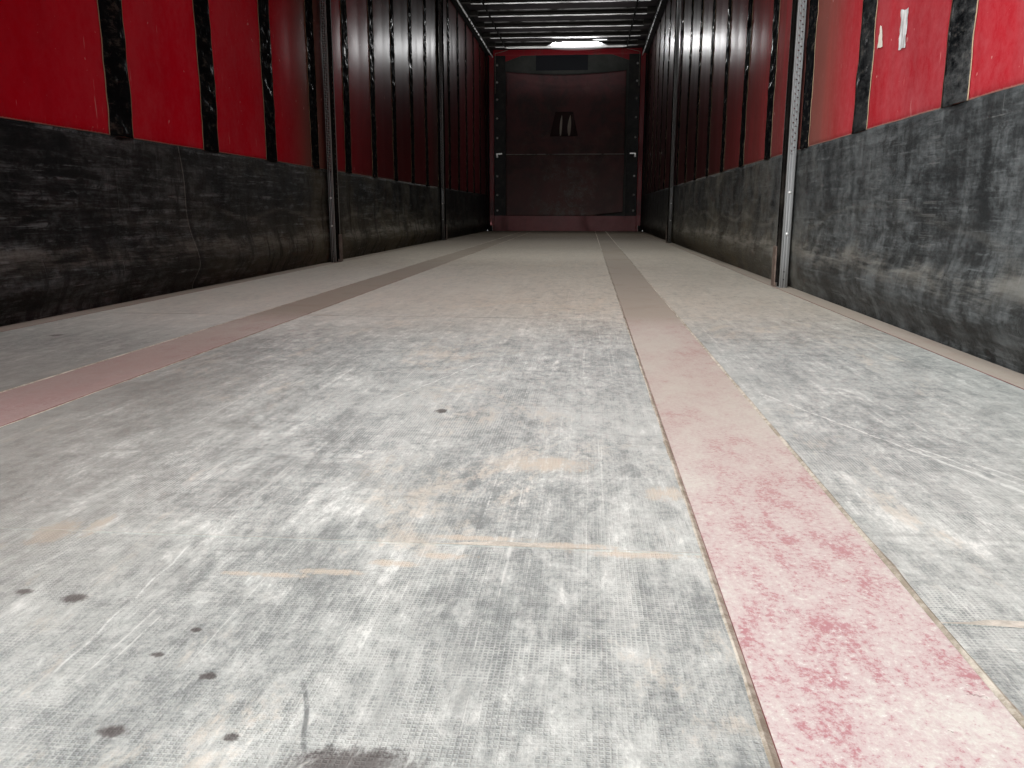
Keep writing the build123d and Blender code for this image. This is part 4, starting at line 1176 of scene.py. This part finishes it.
# straps down the outside of the side sheets, and their tension buckles
strapShape = {"width": 0.050, "rows": 60, "thick": 0.002, "wander": 0.004}
buckleShape = {
    # distances out from the buckle's back or in from its front, along and up
    "plate": (0.001, 0.004, -0.027, 0.027, 0.068, 0.158),
    "cheeks": ((-0.027, -0.023), (0.023, 0.027)), "cheekHeights": (0.072, 0.150), "deep": 0.018,
    "rod": 0.0035, "pin": (0.008, 0.026, 0.140, 0.004), "lever": (0.020, 0.078, 0.134),
}
for side, label in sides:
    low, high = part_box("curtain_straps_" + label)
    inner, outer = sorted((abs(low.x), abs(high.x)))
    mesh = bmesh.new()
    for place in bandPlaces:
        for vertex in addGrid(mesh, 3, strapShape["rows"]):
            u, z = vertex.co.x, low.z + (high.z - low.z) * (vertex.co.y + 0.5)
            x = inner + 0.0012 + (outer - inner - 0.003) * eased((skirtTop - 0.06 - z) / 0.42)
            wander = strapShape["wander"] * ripple(place * 2.0, z * 1.3, side)
            wander *= math.sin(math.pi * (z - low.z) / (high.z - low.z))
            vertex.co = (side * x, place + (u * strapShape["width"]) + wander, z)
    bmesh.ops.recalc_face_normals(mesh, faces=mesh.faces)
    straps = addPiece("side_straps_" + label, mesh, "webbing", thick=strapShape["thick"])
    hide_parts("curtain_straps_" + label)

    low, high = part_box("curtain_buckles_" + label)
    inner, outer = sorted((abs(low.x), abs(high.x)))
    shape = buckleShape
    outside = outer - shape["deep"]
    mesh = bmesh.new()
    for place in bandPlaces:
        near, far, left, right, bottom, top = shape["plate"]
        addSideBlock(mesh, side, (outside + near, outside + far), (place + left, place + right), (bottom, top))
        for left, right in shape["cheeks"]:
            ends = (place + left, place + right)
            addSideBlock(mesh, side, (outside + far, outer - 0.001), ends, shape["cheekHeights"])
        deep, half, up, radius = shape["pin"]
        across = side * (outer - deep)
        addRod(mesh, (across, place - half, up), (across, place + half, up), radius, 6)
        half, bottom, top = shape["lever"]
        addSideBlock(mesh, side, (outer - 0.0035, outer - 0.0005), (place - half, place + half), (bottom, top))
        hook = [(outside + 0.002, 0.070), (inner + 0.02, 0.0575), (inner + 0.004, 0.059)]
        for (x, z), (nextX, nextZ) in zip(hook, hook[1:]):
            addRod(mesh, (side * x, place, z), (side * nextX, place, nextZ), shape["rod"], 6)
    buckles = addPiece("tension_buckles_" + label, mesh, "zinc")
    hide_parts("curtain_buckles_" + label)
print("straps and buckles on")


# cloth hung on the headboard, with two pale tags through slits
hungShape = {
    "columns": 90, "rows": 100, "fold": 0.010, "sag": 0.055, "crease": 0.006, "back": 0.003, "thick": 0.0012,
    "rail": 1.426, "lifted": 0.055,
}
low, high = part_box("headboard_hung_sheet")
mesh = gridSheet((low.x, low.z), (high.x, high.z), (hungShape["columns"], hungShape["rows"]))
for vertex in mesh.verts:
    _, x, z = vertex.co
    u, v = (x - low.x) / (high.x - low.x), (z - low.z) / (high.z - low.z)
    sag = hungShape["sag"] * math.sin(math.pi * u) * v ** 3
    pull = 0.45 + 0.55 * math.sin(math.pi * clipped(u))
    upright = ripple(x * 5.5, z * 0.55, 1.0) + 0.5 * ripple(x * 13.0, z * 1.1, 4.0)
    hem = high.z - 0.10 - 0.13 * math.sin(math.pi * u)
    crease = math.exp(-((z - hem) / 0.016) ** 2) * pull
    for start in (-1, 1):
        # a fold drawn slantwise from each upper corner
        line = (x - start * 0.95) * 0.62 + start * (z - high.z) * 0.78
        crease += math.exp(-(line / 0.035) ** 2) * max(0.0, 1 - abs(z - high.z) / 1.1)
    out = hungShape["fold"] * (0.5 + 0.5 * upright) * pull + hungShape["crease"] * crease
    out = hungShape["back"] + out * (1 - math.exp(-((z - hungShape["rail"]) / 0.05) ** 2))
    corner = max(0.0, (x - 0.45) / 0.48) * max(0.0, 1 - (z - low.z) / 0.16)
    vertex.co = (x, high.y - 0.001 - out, z - sag + hungShape["lifted"] * corner)
smoothAll(mesh)
hung = addPiece("headboard_cloth", mesh, "hungCloth", thick=hungShape["thick"])
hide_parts("headboard_hung_sheet")

tagShape = {"places": ((-0.085, 0.019), (0.050, 0.027)), "bottom": 1.712, "top": 2.03, "thick": 0.001}
mesh = bmesh.new()
tall = tagShape["top"] - tagShape["bottom"]
for place, wide in tagShape["places"]:
    for vertex in addGrid(mesh, 6, 18):
        u, v = vertex.co.x * 2, vertex.co.y + 0.5
        swell = wide * (math.sin(math.pi * (0.12 + 0.88 * v)) ** 0.8)
        out = high.y - 0.021 - 0.003 * math.cos(u * 1.4)
        vertex.co = (place + u * swell + 0.02 * v * v, out, tagShape["bottom"] + tall * v)
smoothAll(mesh)
tags = addPiece("cloth_tags", mesh, "tag", thick=tagShape["thick"])

flapShape = {"wide": 0.44, "narrower": 0.16, "tall": 0.375, "middle": -0.03, "bottom": 1.705, "thick": 0.0012}
mesh = bmesh.new()
for vertex in addGrid(mesh, 10, 12):
    u, v = vertex.co.x, vertex.co.y + 0.5
    x = flapShape["middle"] + u * (flapShape["wide"] - flapShape["narrower"] * v)
    vertex.co = (x, high.y - 0.0175 - 0.002 * math.cos(u * 9), flapShape["bottom"] + flapShape["tall"] * v)
smoothAll(mesh)
flap = addPiece("cloth_flap", mesh, "flap", thick=flapShape["thick"])
print("headboard cloth hung")


# bolts, brackets and sealed edges of the headboard
boltShape = {
    "across": 1.10, "radius": 0.0175, "proud": 0.009, "washer": 0.016,
    "heights": (0.328, 0.575, 0.87, 1.174, 1.466, 1.767, 2.055, 2.314, 2.573),
}
mesh = bmesh.new()
for side in (-1, 1):
    for height in boltShape["heights"]:
        x, z = side * boltShape["across"], deck + height
        addDome(mesh, (x, headFace - 0.0005, z), (0, -1, 0), boltShape["radius"], boltShape["proud"])
        addRod(mesh, (x, headFace - 0.0001, z), (x, headFace - 0.002, z), boltShape["washer"], 14)
addPiece("headboard_bolts", mesh, "bolt")
low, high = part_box("headboard_mid_rail")
mesh = bmesh.new()
for side in (-1, 1):
    ends, levels = (headFace - 0.004, headFace - 0.0002), (high.z - 0.006, high.z + 0.012)
    addSideBlock(mesh, side, (1.115, 1.02), ends, levels, 0.001)
    ends, levels = (headFace - 0.006, headFace - 0.0005), (low.z - 0.035, high.z + 0.01)
    addSideBlock(mesh, side, (1.115, 1.092), ends, levels, 0.001)
    addDome(mesh, (side * 1.103, headFace - 0.006, low.z - 0.025), (0, -1, 0), 0.008, 0.004)
addPiece("rail_brackets", mesh, "bolt")
beadShape = {"proud": 0.004, "bottoms": ((-1, 2.359), (1, 2.455)), "top": 2.965, "corner": 3.012}
mesh = bmesh.new()
for side, bottom in beadShape["bottoms"]:
    ends, levels = (headFace - beadShape["proud"], headFace + 0.001), (bottom, beadShape["top"])
    addSideBlock(mesh, side, (1.133, 1.126), ends, levels, 0.0015)
    start, end = (side * 1.13, headFace - 0.002, beadShape["top"]), (
        side * 0.93, headFace - 0.002, beadShape["corner"],
    )
    addRod(mesh, start, end, 0.0035, 8)
addPiece("headboard_beads", mesh, "sealant")


# rivets of the front wall, in the valleys between its swages
rivetShape = {"radius": 0.009, "proud": 0.004, "swages": 10, "land": 0.070, "ends": 0.045, "rows": 7}
mesh = bmesh.new()
low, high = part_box("headboard_outer_wall")
pitch = (high.x - low.x) / rivetShape["swages"]
for swage in range(rivetShape["swages"]):
    for row in range(rivetShape["rows"]):
        share = row / (rivetShape["rows"] - 1)
        z = low.z + rivetShape["ends"] + (high.z - low.z - 2 * rivetShape["ends"]) * share
        x = low.x + swage * pitch + rivetShape["land"] / 2
        addDome(mesh, (x, low.y + 0.003, z), (0, 1, 0), rivetShape["radius"], rivetShape["proud"], 10)
addPiece("wall_rivets", mesh, "bolt")


# sealant beads beside the steel strips of the floor, and filler in the cross joints
sealShape = {
    "width": 0.0030, "least": 0.0018, "step": 0.025, "levels": (-0.0012, 0.0009, 0.0001),
    "edges": ((0.497, -1), (0.663, 1), (-0.497, 1), (-0.663, -1)),
}
mesh = bmesh.new()
boards = {name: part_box("floor_boards_" + name) for name in ("centre", "left", "right")}
rear, front = (corner.y for corner in boards["centre"])
for edge, inward in sealShape["edges"]:
    for vertex in addGrid(mesh, 2, int((front - rear) / sealShape["step"])):
        line, y = round((vertex.co.x + 0.5) * 2), rear + (front - rear) * (vertex.co.y + 0.5)
        uneven = 0.7 + 0.9 * ripple(edge * 9, y * 9.0, 0.0) + 0.5 * ripple(edge * 9, y * 31.0, 2.0)
        wide = max(sealShape["width"] * uneven, sealShape["least"])
        out = (-0.0028, 0.0008 + wide * 0.3, 0.001 + wide)[line]
        vertex.co = (edge + inward * out, y, deck + sealShape["levels"][line])
bmesh.ops.recalc_face_normals(mesh, faces=mesh.faces)
addPiece("floor_sealant", mesh, "sealant")

fillerShape = {
    "firsts": {"centre": 0.650, "left": 0.530, "right": 0.530}, "next": 2.4, "pitch": 2.5, "joints": 5,
    "least": 0.0003, "lump": 0.020, "clean": 0.24,
}
mesh = bmesh.new()
for name, first in fillerShape["firsts"].items():
    low, high = boards[name]
    for joint in (first, *(fillerShape["next"] + fillerShape["pitch"] * n for n in range(fillerShape["joints"]))):
        for vertex in addGrid(mesh, 40, 1):
            x, end = low.x + (high.x - low.x) * (vertex.co.x + 0.5), vertex.co.y * 2
            lump = max(0.0, ripple(x * 7.0, joint, end * 0.3) + 0.15 * ripple(x * 60.0, joint, end) - 0.12)
            if joint < 1 and x < fillerShape["clean"]:
                lump = 0.0
            wide = fillerShape["least"] + fillerShape["lump"] * lump
            vertex.co = (x, doorPlane + joint + end * wide, deck + 0.0006)
bmesh.ops.recalc_face_normals(mesh, faces=mesh.faces)
addPiece("floor_filler", mesh, "filler")
print("beads laid")


# roof cloth over the bows: sags a little between them, its edges turned down over the rails
roofShape = {
    "edge": 0.045, "sag": 0.009, "wave": 0.0035, "acrossSteps": 44, "alongStep": 0.055, "thick": 0.0012,
    "firstBow": 0.6, "bowPitch": 0.665, "bows": 20,
}
low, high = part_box("roof_sheet")
half = high.x - 0.001
bowPlaces = [headFace - roofShape["firstBow"] - roofShape["bowPitch"] * n for n in range(roofShape["bows"])]
reach = half + roofShape["edge"]
counts = (roofShape["acrossSteps"], int((high.y - low.y) / roofShape["alongStep"]))
mesh = gridSheet((-reach, low.y), (reach, high.y), counts)
for vertex in mesh.verts:
    _, across, y = vertex.co
    side = 1 if across > 0 else -1
    turn = max(0.0, abs(across) - half)
    toBow = nearest(y, bowPlaces)
    free = max(0.0, math.cos(math.pi / 2 * min(abs(across) / (half - 0.1), 1.0)))
    sag = roofShape["sag"] * math.sin(math.pi / 2 * min(toBow / 0.33, 1.0)) * free
    wave = roofShape["wave"] * ripple(across * 2.2, y * 6.0, 0.0) * free * min(toBow / 0.1, 1.0)
    vertex.co = (side * min(abs(across), half), y, high.z - 0.001 - sag - abs(wave) - turn)
smoothAll(mesh)
roof = addPiece("roof_cloth", mesh, "roofCloth", thick=roofShape["thick"])
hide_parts("roof_sheet")
print("roof cloth on")


# stage, camera and lamps
stageLook = {"pale": (0.65, 0.65, 0.645), "floor": (0.50, 0.50, 0.495), "size": 90.0}


def stageFinish(place):
    shade = place.noise(0.4, 3.0, 0.5)
    return {"colour": blendColours(shade, stageLook["floor"], stageLook["pale"]), "rough": 0.8}


def placed(name, data):
    thing = bpy.data.objects.new(name, data)
    bpy.context.scene.collection.objects.link(thing)
    return thing


mesh = bmesh.new()
bmesh.ops.create_grid(mesh, x_segments=2, y_segments=2, size=stageLook["size"] / 2)
data = bpy.data.meshes.new("stage_floor")
mesh.to_mesh(data)
mesh.free()
data.materials.append(newMaterial("stage_floor", stageFinish))
placed("stage_floor", data)

cameraLook = {"right": 0.3796, "height": 0.3199, "turn": 5.152, "tip": -11.853, "roll": 0.083, "lens": 28.99}
data = bpy.data.cameras.new("camera")
data.lens, data.sensor_width = cameraLook["lens"], 36.0
data.clip_start, data.clip_end = 0.01, 200.0
camera = placed("camera", data)
stand = Matrix.Translation((cameraLook["right"], cameraRow, deck + cameraLook["height"]))
turn = Matrix.Rotation(math.radians(cameraLook["turn"]), 4, "Z")
tip = Matrix.Rotation(math.radians(90 + cameraLook["tip"]), 4, "X")
roll = Matrix.Rotation(math.radians(cameraLook["roll"]), 4, "Z")
camera.matrix_world = stand @ turn @ tip @ roll
bpy.context.scene.camera = camera


def addLamp(name, place, target, size, power, shape="RECTANGLE", seen=False, glossy=True, spread=180):
    data = bpy.data.lights.new(name, "AREA")
    data.shape, data.size, data.size_y = shape, size[0], size[1]
    data.energy, data.spread = power, math.radians(spread)
    lamp = placed(name, data)
    place = Vector(place)
    aim = (Vector(target) - place).to_track_quat("-Z", "Y").to_matrix().to_4x4()
    lamp.matrix_world = Matrix.Translation(place) @ aim
    lamp.visible_camera = seen
    lamp.visible_glossy = glossy
    return lamp


lampLook = {
    "sun": 2.0, "sunSpread": 0.45, "rear": 430.0, "inner": (17.0, 9.5, 13.5, 12.0, 10.0), "innerHeight": 2.86,
    "lowRear": 40.0, "wall": 37.0, "bows": 19.0,
    # across, height over the deck, width, height and brightness of each ring of the far glare
    "glare": ((0.160, 2.724, 0.74, 0.046, 160.0), (0.500, 2.776, 0.22, 0.010, 3.0), (0.160, 2.721, 0.79, 0.058, 0.72),
              (0.162, 2.717, 0.84, 0.072, 0.38), (0.164, 2.712, 0.88, 0.090, 0.19),
              (0.166, 2.706, 0.92, 0.112, 0.09)),
}
data = bpy.data.lights.new("sun", "SUN")
data.energy, data.angle = lampLook["sun"], lampLook["sunSpread"]
placed("sun", data).matrix_world = Vector((12.0, 24.0, -10.0)).to_track_quat("-Z", "Y").to_matrix().to_4x4()
start, end = (-3.2, doorPlane - 7.0, 6.5), (0.6, doorPlane + 2.5, 0.2)
addLamp("rear_lamp", start, end, (7.0, 5.0), lampLook["rear"], glossy=False)
for step, power in enumerate(lampLook["inner"]):
    y = doorPlane + 0.9 + 2.6 * step
    start, end = (0.30, y, lampLook["innerHeight"]), (0.36, y + 0.01, 0.0)
    addLamp(f"inner_lamp_{step}", start, end, (1.2, 2.2), power, glossy=False, spread=105)
for step, (across, up, wide, high, glow) in enumerate(lampLook["glare"]):
    start, end = (across, headFace - 0.80 + 0.02 * step, deck + up), (across, headFace - 6.0, deck + 1.0)
    power = glow * math.pi * math.pi / 4 * wide * high
    addLamp(f"glare_lamp_{step}", start, end, (wide, high), power, shape="ELLIPSE", seen=True)
start, end = (0.0, doorPlane - 2.2, 1.4), (0.0, doorPlane + 7.0, 2.2)
addLamp("low_rear_lamp", start, end, (2.2, 1.6), lampLook["lowRear"]).visible_diffuse = False
start, end = (0.0, headFace - 2.0, deck + 1.9), (0.0, headFace - 1.9, deck + 4.0)
addLamp("bow_lamp", start, end, (1.8, 3.4), lampLook["bows"], glossy=False, spread=110)
start, end = (-3.4, doorPlane - 4.2, 2.2), (1.25, doorPlane + 1.3, 1.5)
addLamp("wall_lamp", start, end, (1.2, 1.2), lampLook["wall"], glossy=False, spread=44)

world = bpy.data.worlds.new("studio")
bpy.context.scene.world = world
world.use_nodes = True
tree = world.node_tree
background = tree.nodes["Background"]
path = tree.nodes.new("ShaderNodeLightPath")
seen = [Wire(path.outputs[name]) for name in ("Is Camera Ray", "Is Glossy Ray", "Is Transmission Ray")]
colour = blendColours(seen[0].most(seen[1]).most(seen[2]), (0.50, 0.51, 0.53), (0.97, 0.97, 0.97))
tree.links.new(colour.socket, background.inputs["Color"])
background.inputs["Strength"].default_value = 1.0
bpy.context.scene.view_settings.view_transform = "Standard"
print("stage set")
